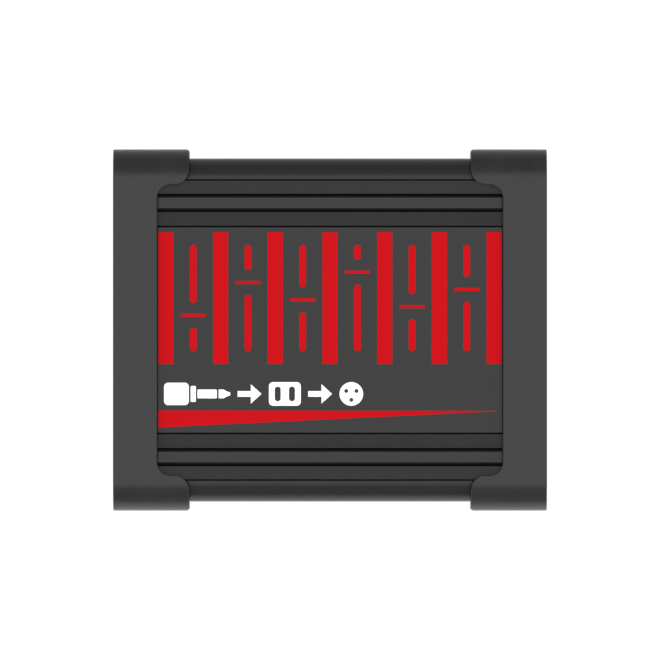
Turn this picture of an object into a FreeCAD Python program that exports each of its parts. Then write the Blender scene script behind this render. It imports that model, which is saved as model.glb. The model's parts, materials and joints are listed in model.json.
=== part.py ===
import FreeCAD, Part
import os
import re

import Sketcher
from FreeCAD import Placement, Rotation, Vector

# Active direct injection box. Millimetres, +Z up, the box lying on its underside.
# The origin is under the middle of the box, on the surface it stands on.
# +X runs from the input end to the output end, and +Y to the left of someone
# who looks along +X. Depths at an end are counted outwards from its panel's face.

DIMENSIONS = [
    # casing
    ("overall_length", 152.4, "over both bumpers"),
    ("overall_width", 127.0, "over the bumpers"),
    ("overall_height", 60.0, "over the bumpers"),
    ("stand_off", 3.2, "how far a bumper stands out of the extrusion"),
    ("bumper_corner", 10.5, "radius of the bumper's long edges"),
    ("bumper_band", 15.5, "width of the bumper's band along the box"),
    ("bumper_lobe", 26.7, "length of the bumper's corner lobes"),
    ("lobe_reach", 12.4, "how far a lobe reaches in from the bumper's side"),
    ("lobe_tip", 5.0, "outer radius of a lobe"),
    ("lobe_root", 4.8, "radius where a lobe meets the band"),
    ("bumper_face_edge", 0.3, "chamfer round the bumper's end face"),
    ("bumper_rim", 0.2, "chamfer along the band and the lobes"),
    ("panel_recess", 6.4, "from the bumper's face to the panel's face"),
    ("panel_thickness", 1.5, "steel sheet"),
    ("panel_margin", 0.4, "panel smaller than the extrusion all round"),
    ("opening_width", 113.0, "opening of the bumper's frame"),
    ("opening_height", 46.0, ""),
    ("opening_corner", 2.2, ""),
    ("block_size", 6.5, "corner block that a panel screw goes through"),
    ("block_corner", 4.0, ""),
    ("block_recess", 1.8, "from the bumper's face to the block's face"),
    ("wall", 2.4, "side wall of the extrusion"),
    ("roof", 2.6, "top and bottom wall of the extrusion"),
    ("channel_roof", 4.9, "the same under the grooves"),
    # rib and grooves along the top and bottom
    ("rib_middle", 44.65, "from the box's middle to the rib's middle"),
    ("rib_width", 3.7, ""),
    ("rib_drop", 0.12, "rib below the label's face"),
    ("groove_width", 1.35, ""),
    ("groove_depth", 3.3, "upright on the slope's side, slanting on the rib's"),
    ("outer_slope", 4.6, "sloping face beside the outer groove"),
    ("inner_slope", 4.8, "sloping face beside the inner groove"),
    ("slope_high", 0.25, "its drop at the outer edge"),
    ("slope_low", 1.3, "its drop at the groove"),
    ("line_width", 0.55, "fine line at the channel's edge"),
    ("line_depth", 1.2, ""),
    ("side_groove_spacing", 11.0, "between the two grooves on each side"),
    ("side_groove_width", 1.3, ""),
    ("side_groove_depth", 1.0, ""),
    ("liner_inner", 9.6, "thickened wall under the grooves, inwards of the rib's middle"),
    ("liner_outer", 3.4, "and its other edge, in from the side wall"),
    ("boss_inset", 5.7, "screw port's middle in from the extrusion's faces"),
    ("boss_radius", 3.5, ""),
    ("port_radius", 1.3, ""),
    ("label_thickness", 0.2, ""),
    ("label_gap", 0.15, ""),
    # fasteners
    ("screw_head", 2.8, "panel screw, radius"),
    ("screw_head_height", 2.2, ""),
    ("screw_core", 1.25, ""),
    ("screw_length", 14.0, ""),
    ("screw_hole", 1.7, ""),
    ("screw_seat", 1.9, "rubber under the head"),
    ("counterbore", 3.15, ""),
    # circuit board
    ("board_top", 20.0, ""),
    ("board_thickness", 1.6, ""),
    ("board_half_width", 57.3, ""),
    ("board_end_gap", 2.0, "from the board's end to the panel"),
    ("rail_reach", 3.0, "board rail out of the side wall"),
    ("rail_thickness", 1.6, ""),
    # three-pin connectors
    ("connector_height", 30.0, "middle of the sockets above the table"),
    ("xlr_in_side", 36.0, ""),
    ("xlr_out_side", -36.0, ""),
    ("flange_width", 26.0, ""),
    ("flange_height", 31.0, ""),
    ("flange_thickness", 2.0, ""),
    ("flange_corner", 4.0, ""),
    ("barrel_radius", 11.8, ""),
    ("rim_radius", 10.9, ""),
    ("rim_height", 0.5, ""),
    ("contact_circle", 4.2, "radius of the circle of contacts"),
    ("pin_radius", 1.2, ""),
    ("female_cavity", 9.7, "radius of the input socket's cavity"),
    ("female_floor", 14.0, "its floor, behind the panel's face"),
    ("female_back", 21.0, "the barrel's rear end"),
    ("female_seat", 8.7, "radius of the bore behind the floor"),
    ("male_cavity", 8.05, "the same four for the output plug"),
    ("male_floor", 12.5, ""),
    ("male_back", 17.0, ""),
    ("male_seat", 9.4, ""),
    ("socket_tail", 24.0, "rear end of the input contacts' solder tails"),
    ("pin_tail", 20.0, "rear end of the output pins"),
    ("flange_screw_y", 9.5, ""),
    ("flange_screw_z", 12.0, ""),
    ("flange_hole", 1.35, ""),
    ("latch_axis_out", 1.1, "latch hinge, out of the panel's face"),
    ("latch_axis_up", 12.5, "and above the connector's middle"),
    ("latch_pin_radius", 0.6, ""),
    # quarter-inch jacks
    ("jack_input_side", 10.0, ""),
    ("jack_link_side", -13.0, ""),
    ("bushing_radius", 4.7, ""),
    ("jack_bore", 3.25, ""),
    ("bushing_reach", 5.6, "out of the panel's face"),
    ("nut_flats", 12.7, ""),
    ("nut_thickness", 2.6, ""),
    ("washer_radius", 7.0, ""),
    ("washer_thickness", 0.8, ""),
    ("jack_rear", 27.0, "housing's rear, behind the panel's face"),
    ("jack_tag", 30.0, "contacts' rear"),
    # push switches
    ("switch_height", 25.5, "button's middle above the table"),
    ("pad_a_side", -33.0, ""),
    ("pad_b_side", -46.0, ""),
    ("ground_lift_side", -13.0, ""),
    ("button_radius", 3.4, ""),
    ("button_hole", 3.8, ""),
    ("button_reach", 3.6, ""),
    ("button_travel", 2.5, ""),
    # power switch
    ("power_side", 1.5, ""),
    ("power_travel", 4.0, ""),
    ("power_screw_up", 9.5, "its screws above and below its middle"),
    ("power_tag", 12.0, "rear end of its terminals"),
    ("led_side", -13.0, ""),
    ("led_height", 40.0, ""),
    # battery drawer
    ("drawer_side", 31.5, ""),
    ("drawer_height", 31.6, ""),
    ("bezel_width", 37.5, ""),
    ("bezel_height", 26.5, ""),
    ("bezel_thickness", 1.6, ""),
    ("sleeve_width", 33.6, ""),
    ("sleeve_height", 22.6, ""),
    ("sleeve_depth", 58.0, ""),
    ("sleeve_wall", 1.4, ""),
    ("tray_gap", 0.3, ""),
    ("tray_wall", 1.4, ""),
    ("battery_width", 26.5, "nine-volt block"),
    ("battery_thickness", 17.5, ""),
    ("battery_length", 46.4, ""),
    ("battery_front", 3.0, "battery's front end, behind the panel's face"),
    ("snap_offset", 6.35, "battery terminal's middle from the battery's"),
    ("contact_tail", 2.4, "battery contact's reach behind the sleeve"),
    # leads
    ("lead_radius", 0.7, "over the insulation"),
    ("lead_bend", 5.0, ""),
    # transformer
    ("transformer_x", 22.0, ""),
    ("transformer_y", -14.0, ""),
    ("can_height", 24.0, ""),
]

INPUT, OUTPUT = -1, 1
MIDDLE = "(overall_height/2)"
PANEL_FACE = "(overall_length/2 - panel_recess)"
EXTRUSION_END = "(overall_length/2 - panel_recess - panel_thickness)"
HALF_WIDTH = "(overall_width/2 - stand_off)"
HALF_HEIGHT = "(overall_height/2 - stand_off)"
ROOF_TOP = "(overall_height - stand_off)"
BODY_CORNER = "(bumper_corner - stand_off)"

doc = FreeCAD.newDocument("direct_box")
sheet = doc.addObject("Spreadsheet::Sheet", "dims")
for row, (alias, value, note) in enumerate(DIMENSIONS, 1):
    sheet.set(f"A{row}", alias)
    sheet.set(f"B{row}", str(value))
    sheet.set(f"C{row}", note)
    sheet.setAlias(f"B{row}", alias)
doc.recompute()

ALIASES = {alias for alias, value, note in DIMENSIONS}
WORD = re.compile(r"[a-z_]+")
gauge = doc.addObject("App::FeaturePython", "gauge")
gauge.addProperty("App::PropertyFloat", "Reading")
nodes = {}


# ---------------------------------------------------------------- expressions
def linked(expression):
    """The expression with each name in the sheet written as a reference to its cell."""
    return WORD.sub(lambda m: f"dims.{m[0]}" if m[0] in ALIASES else m[0], str(expression))


def number(expression):
    """What an expression is worth now, in millimetres, read off the gauge object."""
    gauge.setExpression("Reading", linked(expression))
    gauge.recompute()
    return gauge.Reading


def bind(thing, prop, expression):
    thing.setExpression(prop, linked(expression))


def depth(end, out):
    """The x at a depth counted outwards from one end's panel face."""
    return f"({PANEL_FACE} + ({out}))" if end == OUTPUT else f"(-{PANEL_FACE} - ({out}))"


def span(end, inner, outer):
    """The (low, high) x between two such depths."""
    if end == OUTPUT:
        return depth(end, inner), depth(end, outer)
    return depth(end, outer), depth(end, inner)


def around(middle, half):
    """The (low, high) pair that lies half on each side of middle."""
    return f"({middle}) - ({half})", f"({middle}) + ({half})"


# ---------------------------------------------------------------- Part workbench
TURNS = {
    "x": Rotation(Vector(0, 1, 0), 90),
    "y": Rotation(Vector(1, 0, 0), -90),
    "z": Rotation(),
}


def box(name, x, y, z):
    """A box between two values on each axis."""
    solid = doc.addObject("Part::Box", name)
    for prop, axis, (low, high) in zip(("Length", "Width", "Height"), "xyz", (x, y, z)):
        bind(solid, prop, f"({high}) - ({low})")
        bind(solid, f"Placement.Base.{axis}", low)
    return solid


def place(solid, axis, start, centre):
    """Stands a solid made along Z on start, along axis, with centre on the other two axes."""
    solid.Placement = Placement(Vector(), TURNS[axis])
    others = [a for a in "xyz" if a != axis]
    for a, value in zip([axis] + others, [start] + list(centre)):
        bind(solid, f"Placement.Base.{a}", value)


def rod(name, axis, along, centre, radius):
    """A cylinder between two values of axis."""
    solid = doc.addObject("Part::Cylinder", name)
    bind(solid, "Radius", radius)
    bind(solid, "Height", f"({along[1]}) - ({along[0]})")
    place(solid, axis, along[0], centre)
    return solid


def cone(name, axis, along, centre, low_radius, high_radius):
    solid = doc.addObject("Part::Cone", name)
    bind(solid, "Radius1", low_radius)
    bind(solid, "Radius2", high_radius)
    bind(solid, "Height", f"({along[1]}) - ({along[0]})")
    place(solid, axis, along[0], centre)
    return solid


def ball(name, centre, radius):
    solid = doc.addObject("Part::Sphere", name)
    bind(solid, "Radius", radius)
    for axis, value in zip("xyz", centre):
        bind(solid, f"Placement.Base.{axis}", value)
    return solid


def fuse(name, *solids):
    joined = doc.addObject("Part::MultiFuse", name)
    joined.Shapes = list(solids)
    return joined


def common(name, *solids):
    shared = doc.addObject("Part::MultiCommon", name)
    shared.Shapes = list(solids)
    return shared


def cut(name, base, *tools):
    result = doc.addObject("Part::Cut", name)
    result.Base = base
    result.Tool = tools[0] if len(tools) == 1 else fuse(name + "_tools", *tools)
    return result


def group(name, *solids):
    """Separate solids kept together as one sub-part."""
    together = doc.addObject("Part::Compound", name)
    together.Links = list(solids)
    return together


def soften(name, base, radius, wanted):
    """A Part fillet on the edges of base that wanted(edge) picks."""
    doc.recompute()
    rounded = doc.addObject("Part::Fillet", name)
    rounded.Base = base
    size = number(radius)
    picked = [i for i, edge in enumerate(base.Shape.Edges, 1) if wanted(edge)]
    rounded.Edges = [(i, size, size) for i in picked]
    return rounded


def keep(node, thing):
    """Registers a finished sub-part under its node's name."""
    thing.Label = node
    nodes[node] = thing
    return thing


# ---------------------------------------------------------------- PartDesign
def body(name):
    return doc.addObject("PartDesign::Body", name)


def sketch(owner, name, plane, offset="0"):
    """A sketch on one of the body's origin planes, moved along its normal."""
    drawing = owner.newObject("Sketcher::SketchObject", name)
    support = next(f for f in owner.Origin.OriginFeatures if f.Role == plane)
    drawing.AttachmentSupport = [(support, "")]
    drawing.MapMode = "FlatFace"
    bind(drawing, "AttachmentOffset.Base.z", offset)
    return drawing


def dimension(drawing, kind, geometry, point, expression):
    """Ties a point's distance from the sketch's origin, or a radius, to an expression."""
    value = number(expression)
    if kind == "Radius":
        index = drawing.addConstraint(Sketcher.Constraint(kind, geometry, value))
    elif abs(value) < 1e-9:
        axis = -2 if kind == "DistanceX" else -1
        drawing.addConstraint(Sketcher.Constraint("PointOnObject", geometry, point, axis))
        return
    else:
        index = drawing.addConstraint(Sketcher.Constraint(kind, -1, 1, geometry, point, value))
    name = f"size{index}"
    drawing.renameConstraint(index, name)
    bind(drawing, f"Constraints.{name}", expression)


def outline(drawing, corners):
    """A closed outline of straight lines through corners, each (x, y)."""
    points = [Vector(number(x), number(y), 0) for x, y in corners]
    lines = []
    for here, there in zip(points, points[1:] + points[:1]):
        lines.append(drawing.addGeometry(Part.LineSegment(here, there)))
    for line, following in zip(lines, lines[1:] + lines[:1]):
        drawing.addConstraint(Sketcher.Constraint("Coincident", line, 2, following, 1))
    for line, (x, y) in zip(lines, corners):
        dimension(drawing, "DistanceX", line, 1, x)
        dimension(drawing, "DistanceY", line, 1, y)


def rounded_outline(drawing, corners):
    """A closed outline of level and upright lines, each corner (x, y, radius)."""
    count = len(corners)
    points = [Vector(number(x), number(y), 0) for x, y, r in corners]
    radii = [number(r) for x, y, r in corners]
    toward = [(points[(i + 1) % count] - points[i]).normalize() for i in range(count)]
    lines = []
    for i in range(count):
        j = (i + 1) % count
        start = points[i] + toward[i] * radii[i]
        end = points[j] - toward[i] * radii[j]
        lines.append(drawing.addGeometry(Part.LineSegment(start, end)))
        level = abs(toward[i].y) < 0.5
        drawing.addConstraint(Sketcher.Constraint("Horizontal" if level else "Vertical", lines[i]))
        kind, value = ("DistanceY", corners[i][1]) if level else ("DistanceX", corners[i][0])
        dimension(drawing, kind, lines[i], 1, value)
    for i in range(count):
        before = lines[i - 1]
        if radii[i] == 0:
            drawing.addConstraint(Sketcher.Constraint("Coincident", before, 2, lines[i], 1))
            continue
        start = points[i] - toward[i - 1] * radii[i]
        end = points[i] + toward[i] * radii[i]
        middle = start + toward[i] * radii[i]
        left_turn = toward[i - 1].cross(toward[i]).z > 0
        first, last = (start, end) if left_turn else (end, start)
        begin = Vector(1, 0, 0).getAngle(first - middle)
        if (first - middle).y < -1e-9:
            begin = -begin
        circle = Part.Circle(middle, Vector(0, 0, 1), radii[i])
        arc = drawing.addGeometry(Part.ArcOfCircle(circle, begin, begin + 1.5707963267948966))
        ends = (1, 2) if left_turn else (2, 1)
        drawing.addConstraint(Sketcher.Constraint("Tangent", before, 2, arc, ends[0]))
        drawing.addConstraint(Sketcher.Constraint("Tangent", arc, ends[1], lines[i], 1))
        dimension(drawing, "Radius", arc, 0, corners[i][2])


def rectangle(drawing, x, y, radius="0"):
    """A rectangle between two values each way, with rounded corners."""
    rounded_outline(
        drawing,
        [(x[0], y[0], radius), (x[1], y[0], radius), (x[1], y[1], radius), (x[0], y[1], radius)],
    )


def circle(drawing, x, y, radius):
    centre = Vector(number(x), number(y), 0)
    ring = drawing.addGeometry(Part.Circle(centre, Vector(0, 0, 1), number(radius)))
    dimension(drawing, "DistanceX", ring, 3, x)
    dimension(drawing, "DistanceY", ring, 3, y)
    dimension(drawing, "Radius", ring, 0, radius)


def pad(owner, name, drawing, length, side="One side", backwards=False):
    """Adds material over a sketch."""
    feature = owner.newObject("PartDesign::Pad", name)
    feature.Profile = drawing
    feature.SideType = side
    feature.Reversed = backwards
    bind(feature, "Length", length)
    return feature


def pocket(owner, name, drawing, length, side="One side", forwards=False):
    """Removes material over a sketch, against its normal unless forwards is set."""
    doc.recompute()
    before = owner.Shape.Volume
    feature = owner.newObject("PartDesign::Pocket", name)
    feature.Profile = drawing
    feature.SideType = side
    feature.Reversed = forwards
    bind(feature, "Length", length)
    doc.recompute()
    if owner.Shape.Volume > before - 1e-6:
        raise RuntimeError(f"{name} removed nothing from {owner.Label}")
    return feature


def dress(owner, name, kind, prop, size, wanted):
    """A PartDesign fillet or chamfer on the edges that wanted(edge) picks."""
    doc.recompute()
    base = owner.Tip
    picked = [f"Edge{i}" for i, edge in enumerate(base.Shape.Edges, 1) if wanted(edge)]
    feature = owner.newObject(f"PartDesign::{kind}", name)
    feature.Base = (base, picked)
    bind(feature, prop, size)
    return feature


def turned(name, profile, axis, start, centre, flip=False):
    """A round solid: profile is a list of (radius, distance along axis) from the start."""
    owner = body(name)
    drawing = sketch(owner, name + "_profile", "XZ_Plane")
    outline(drawing, profile)
    spin = owner.newObject("PartDesign::Revolution", name + "_turned")
    spin.Profile = drawing
    spin.ReferenceAxis = (drawing, ["V_Axis"])
    spin.Angle = 360
    place(owner, axis, start, centre)
    if flip:
        turn = {"x": Rotation(Vector(0, 1, 0), -90), "z": Rotation(Vector(1, 0, 0), 180)}
        owner.Placement = Placement(owner.Placement.Base, turn[axis])
    return owner


def along_x(edge):
    """True for a straight edge that runs along X."""
    if not isinstance(edge.Curve, Part.Line):
        return False
    return abs(edge.Curve.Direction.x) > 0.999


def at_x(edge, x, slack=0.01):
    """True for an edge that lies in the plane at x."""
    extent = edge.BoundBox
    return abs(extent.XMin - x) < slack and abs(extent.XMax - x) < slack


# ---------------------------------------------------------------- casing
def channel(drawing, side, face):
    """One rib between two sloping faces, with a steep groove at each foot; face is up or down."""
    near = "rib_middle - rib_width/2 - groove_width"
    far = "rib_middle + rib_width/2 + groove_width"
    rib_near, rib_far = "rib_middle - rib_width/2", "rib_middle + rib_width/2"
    low_edge = f"{near} - inner_slope"
    high_edge = f"{far} + outer_slope"
    profile = [
        (f"{low_edge} - line_width", "-1"),
        (f"{low_edge} - line_width", "0"),
        (f"{low_edge} - 0.4*line_width", "line_depth"),
        (low_edge, "slope_high"),
        (near, "slope_low"),
        (near, "groove_depth"),
        (rib_near, "rib_drop"),
        (rib_far, "rib_drop"),
        (far, "groove_depth"),
        (far, "slope_low"),
        (high_edge, "slope_high"),
        (f"{high_edge} + 0.4*line_width", "line_depth"),
        (f"{high_edge} + line_width", "0"),
        (f"{high_edge} + line_width", "-1"),
    ]
    outline(drawing, [(f"{side}*({y})", f"{face}*({HALF_HEIGHT} - ({d}))") for y, d in profile])


def enclosure_body():
    """The extruded aluminium tube, drawn about its own middle and raised to height."""
    tube = body("enclosure_tube")
    outer = sketch(tube, "tube_outline", "YZ_Plane")
    rectangle(outer, around(0, HALF_WIDTH), around(0, HALF_HEIGHT))
    pad(tube, "tube_pad", outer, f"2*{EXTRUSION_END}", "Symmetric")
    dress(tube, "tube_corners", "Fillet", "Radius", BODY_CORNER, along_x)

    cavity = sketch(tube, "cavity_outline", "YZ_Plane")
    rectangle(cavity, around(0, f"{HALF_WIDTH} - wall"), around(0, f"{HALF_HEIGHT} - roof"))
    pocket(tube, "cavity", cavity, "overall_length", "Symmetric")

    liners = sketch(tube, "liner_outlines", "YZ_Plane")
    bosses = sketch(tube, "boss_outlines", "YZ_Plane")
    rails = sketch(tube, "rail_outlines", "YZ_Plane")
    board_middle = f"board_top - board_thickness/2 - {MIDDLE}"
    for side in (-1, 1):
        for face in (-1, 1):
            inner, outer_edge = "rib_middle - liner_inner", f"{HALF_WIDTH} - wall - liner_outer"
            y = sorted([f"{side}*({inner})", f"{side}*({outer_edge})"], key=number)
            deep, skin = f"{HALF_HEIGHT} - channel_roof", f"{HALF_HEIGHT} - roof/2"
            z = sorted([f"{face}*({deep})", f"{face}*({skin})"], key=number)
            rectangle(liners, y, z)
            boss_y = f"{side}*({HALF_WIDTH} - boss_inset)"
            boss_z = f"{face}*({HALF_HEIGHT} - boss_inset)"
            circle(bosses, boss_y, boss_z, "boss_radius")
            tip, root = f"{HALF_WIDTH} - wall - rail_reach", f"{HALF_WIDTH} - wall/2"
            y = sorted([f"{side}*({tip})", f"{side}*({root})"], key=number)
            lip = f"{board_middle} + {face}*(board_thickness/2 + 0.1)"
            z = sorted([lip, f"{lip} + {face}*rail_thickness"], key=number)
            rectangle(rails, y, z)
    for name, drawing in (("liners", liners), ("bosses", bosses), ("rails", rails)):
        pad(tube, name, drawing, f"2*{EXTRUSION_END}", "Symmetric")

    ports = sketch(tube, "port_outlines", "YZ_Plane")
    for side in (-1, 1):
        for face in (-1, 1):
            boss_y = f"{side}*({HALF_WIDTH} - boss_inset)"
            boss_z = f"{face}*({HALF_HEIGHT} - boss_inset)"
            circle(ports, boss_y, boss_z, "port_radius")
    pocket(tube, "screw_ports", ports, "overall_length", "Symmetric")

    channels = sketch(tube, "channel_outlines", "YZ_Plane")
    side_grooves = sketch(tube, "side_groove_outlines", "YZ_Plane")
    for side in (-1, 1):
        for face in (-1, 1):
            channel(channels, side, face)
            depth_in = (f"{side}*({HALF_WIDTH} - side_groove_depth)", f"{side}*({HALF_WIDTH} + 1)")
            height = around(f"{face}*side_groove_spacing/2", "side_groove_width/2")
            rectangle(side_grooves, sorted(depth_in, key=number), height)
    pocket(tube, "channels", channels, "overall_length", "Symmetric")
    pocket(tube, "side_grooves", side_grooves, "overall_length", "Symmetric")
    bind(tube, "Placement.Base.z", MIDDLE)
    keep("enclosure_body", tube)


def top_label():
    half_length = "overall_length/2 - bumper_band - label_gap"
    half_width = "rib_middle - rib_width/2 - groove_width - inner_slope - line_width - label_gap"
    sticker = box(
        "label_sheet",
        around(0, half_length),
        around(0, half_width),
        (ROOF_TOP, f"{ROOF_TOP} + label_thickness"),
    )
    keep("top_label", sticker)


def lobe_cut(drawing, end, reach, beyond):
    """The S-shaped gap between two lobes, drawn in a plane that holds X."""
    tip = f"{end}*(overall_length/2 - bumper_lobe)"
    root = f"{end}*(overall_length/2 - bumper_band)"
    past = f"{end}*(overall_length/2 - bumper_lobe - 3)"
    flare = f"({reach}) + ({beyond})"
    corners = [
        (past, f"-({flare})", "0"),
        (tip, f"-({flare})", "0"),
        (tip, f"-({reach})", "lobe_tip"),
        (root, f"-({reach})", "lobe_root"),
        (root, reach, "lobe_root"),
        (tip, reach, "lobe_tip"),
        (tip, flare, "0"),
        (past, flare, "0"),
    ]
    rounded_outline(drawing, corners if end == OUTPUT else corners[::-1])


def bumper(node, end):
    """Moulded rubber end bumper: a frame, a band round the extrusion and four lobes."""
    mould = body(node + "_mould")
    backwards = end == INPUT
    start = f"{end}*(overall_length/2 - bumper_lobe)"
    face = f"{end}*overall_length/2"

    block = sketch(mould, node + "_outline", "YZ_Plane", start)
    rectangle(block, around(0, "overall_width/2"), around(0, "overall_height/2"))
    pad(mould, node + "_block", block, "bumper_lobe", backwards=backwards)
    dress(mould, node + "_corners", "Fillet", "Radius", "bumper_corner", along_x)

    for plane, half, size in (
        ("XY_Plane", "overall_width/2", "overall_height"),
        ("XZ_Plane", "overall_height/2", "overall_width"),
    ):
        gap = sketch(mould, f"{node}_lobes_{plane[:2]}", plane)
        lobe_cut(gap, end, f"{half} - lobe_reach", "lobe_tip + 1")
        pocket(mould, f"{node}_gap_{plane[:2]}", gap, f"{size} + 10", "Symmetric")

    socket = sketch(mould, node + "_socket_outline", "YZ_Plane", start)
    rectangle(socket, around(0, HALF_WIDTH), around(0, HALF_HEIGHT), BODY_CORNER)
    pocket(mould, node + "_socket", socket, "bumper_lobe - panel_recess", forwards=not backwards)

    rebate = sketch(mould, node + "_rebate_outline", "YZ_Plane", face)
    width, height = around(0, "opening_width/2"), around(0, "opening_height/2")
    rectangle(rebate, width, height, "opening_corner + block_corner")
    pocket(mould, node + "_rebate", rebate, "block_recess", forwards=backwards)

    opening = sketch(mould, node + "_opening_outline", "YZ_Plane", face)
    w, h = "opening_width/2", "opening_height/2"
    quarter = [
        (w, f"{h} - block_size", "opening_corner"),
        (f"{w} - block_size", f"{h} - block_size", "block_corner"),
        (f"{w} - block_size", h, "opening_corner"),
    ]
    corners = [(y, z, r) for y, z, r in quarter]
    corners += [(f"-({y})", z, r) for y, z, r in quarter[::-1]]
    corners += [(f"-({y})", f"-({z})", r) for y, z, r in quarter]
    corners += [(y, f"-({z})", r) for y, z, r in quarter[::-1]]
    rounded_outline(opening, corners)
    pocket(mould, node + "_opening", opening, "panel_recess + 1", forwards=backwards)

    bores = sketch(mould, node + "_bore_outlines", "YZ_Plane", face)
    holes = sketch(mould, node + "_hole_outlines", "YZ_Plane", face)
    for side in (-1, 1):
        for level in (-1, 1):
            y = f"{side}*({HALF_WIDTH} - boss_inset)"
            z = f"{level}*({HALF_HEIGHT} - boss_inset)"
            circle(bores, y, z, "counterbore")
            circle(holes, y, z, "screw_hole")
    pocket(mould, node + "_bores", bores, "panel_recess - screw_seat", forwards=backwards)
    pocket(mould, node + "_holes", holes, "panel_recess + 1", forwards=backwards)

    outer = end * number("overall_length/2")
    dress(
        mould, node + "_face_edge", "Chamfer", "Size", "bumper_face_edge", lambda e: at_x(e, outer)
    )
    band, lobe = number("overall_length/2 - bumper_band"), number("overall_length/2 - bumper_lobe")

    def on_rim(edge):
        """An edge of the band or the lobes that lies on the bumper's outer surface."""
        middle = edge.valueAt((edge.FirstParameter + edge.LastParameter) / 2)
        inside = lobe - 0.01 <= end * middle.x <= band + 0.01
        crosses = not along_x(edge) or edge.Length < number("bumper_lobe - bumper_band") - 1
        on_top = abs(abs(middle.z) - number("overall_height/2")) < 0.01
        on_side = abs(abs(middle.y) - number("overall_width/2")) < 0.01
        return inside and crosses and (on_top or on_side)

    dress(mould, node + "_rim", "Chamfer", "Size", "bumper_rim", on_rim)
    bind(mould, "Placement.Base.z", MIDDLE)
    keep(node, mould)


def panel(node, end, drill):
    """A flat end panel; drill(holes) draws its own cut-outs."""
    plate = body(node + "_plate")
    inner_face = depth(end, "-panel_thickness")
    outer = sketch(plate, node + "_outline", "YZ_Plane", inner_face)
    rectangle(
        outer,
        around(0, f"{HALF_WIDTH} - panel_margin"),
        around(MIDDLE, f"{HALF_HEIGHT} - panel_margin"),
        f"{BODY_CORNER} - panel_margin",
    )
    pad(plate, node + "_sheet", outer, "panel_thickness", backwards=end == INPUT)
    holes = sketch(plate, node + "_holes", "YZ_Plane", inner_face)
    for side in (-1, 1):
        for level in (-1, 1):
            y = f"{side}*({HALF_WIDTH} - boss_inset)"
            z = f"{MIDDLE} + {level}*({HALF_HEIGHT} - boss_inset)"
            circle(holes, y, z, "screw_hole")
    drill(holes)
    pocket(plate, node + "_cut", holes, "panel_thickness + 1", forwards=end == OUTPUT)
    keep(node, plate)


def drill_connector(holes, side, tilt):
    """The round hole and two screw holes of a three-pin connector."""
    circle(holes, side, "connector_height", "barrel_radius + 0.2")
    for sign in (-1, 1):
        y = f"{side} + {sign * tilt}*flange_screw_y"
        circle(holes, y, f"connector_height + {sign}*flange_screw_z", "flange_hole")


def drill_input(holes):
    drill_connector(holes, "xlr_in_side", -1)
    for side in ("jack_input_side", "jack_link_side"):
        circle(holes, side, "connector_height", "bushing_radius + 0.15")
    for side in ("pad_a_side", "pad_b_side"):
        circle(holes, side, "switch_height", "button_hole")


def drill_output(holes):
    drill_connector(holes, "xlr_out_side", 1)
    circle(holes, "ground_lift_side", "switch_height", "button_hole")
    circle(holes, "led_side", "led_height", "2.15")
    rectangle(holes, around("power_side", "2.0"), around("connector_height", "4.3"), "0.8")
    for level in (-1, 1):
        circle(holes, "power_side", f"connector_height + {level}*power_screw_up", "1.1")
    width, height = "sleeve_width/2 + 0.2", "sleeve_height/2 + 0.2"
    rectangle(holes, around("drawer_side", width), around("drawer_height", height), "0.6")


# ---------------------------------------------------------------- screws
def screw(name, end, seat, y, z, head, head_height, core, length):
    """A pan-head screw with a cross recess, its head outwards from depth seat."""
    profile = [
        ("0", f"-({length})"),
        (f"0.55*({core})", f"-({length})"),
        (core, f"-({length}) + 1.5"),
        (core, "0"),
        (head, "0"),
        (head, f"0.45*({head_height})"),
        (f"0.88*({head})", f"0.80*({head_height})"),
        (f"0.55*({head})", head_height),
        ("0", head_height),
    ]
    blank = turned(name + "_blank", profile, "x", depth(end, seat), (y, z), flip=end == INPUT)
    top = f"({seat}) + ({head_height})"
    deep = f"({seat}) + 0.4*({head_height})"
    slot = span(end, deep, f"{top} + 1")
    arm, half = f"0.56*({head})", f"0.11*({head})"
    level = box(name + "_slot_y", slot, around(y, arm), around(z, half))
    upright = box(name + "_slot_z", slot, around(y, half), around(z, arm))
    return cut(name, blank, level, upright)


def panel_screws(node, end):
    made = []
    for side in (-1, 1):
        for level in (-1, 1):
            y = f"{side}*({HALF_WIDTH} - boss_inset)"
            z = f"{MIDDLE} + {level}*({HALF_HEIGHT} - boss_inset)"
            made.append(
                screw(
                    f"{node}_{len(made)}", end, "screw_seat", y, z,
                    "screw_head", "screw_head_height", "screw_core", "screw_length",
                )
            )
    keep(node, group(node, *made))


def flange_screws():
    """The four screws of the two three-pin connectors."""
    made = []
    for end, side, tilt in ((INPUT, "xlr_in_side", -1), (OUTPUT, "xlr_out_side", 1)):
        for sign in (-1, 1):
            name = f"flange_screw_{len(made)}"
            y = f"{side} + {sign * tilt}*flange_screw_y"
            z = f"connector_height + {sign}*flange_screw_z"
            made.append(screw(name, end, "flange_thickness", y, z, "2.5", "1.7", "1.3", "8"))
    keep("xlr_screws", group("flange_screw_group", *made))


# ---------------------------------------------------------------- three-pin connectors
def contact_places(side):
    """(y, z) of the three contacts."""
    across, up = "contact_circle*cos(30)", "contact_circle*sin(30)"
    return [
        (f"{side} - {across}", f"connector_height + {up}"),
        (f"{side} + {across}", f"connector_height + {up}"),
        (side, "connector_height - contact_circle"),
    ]


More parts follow.
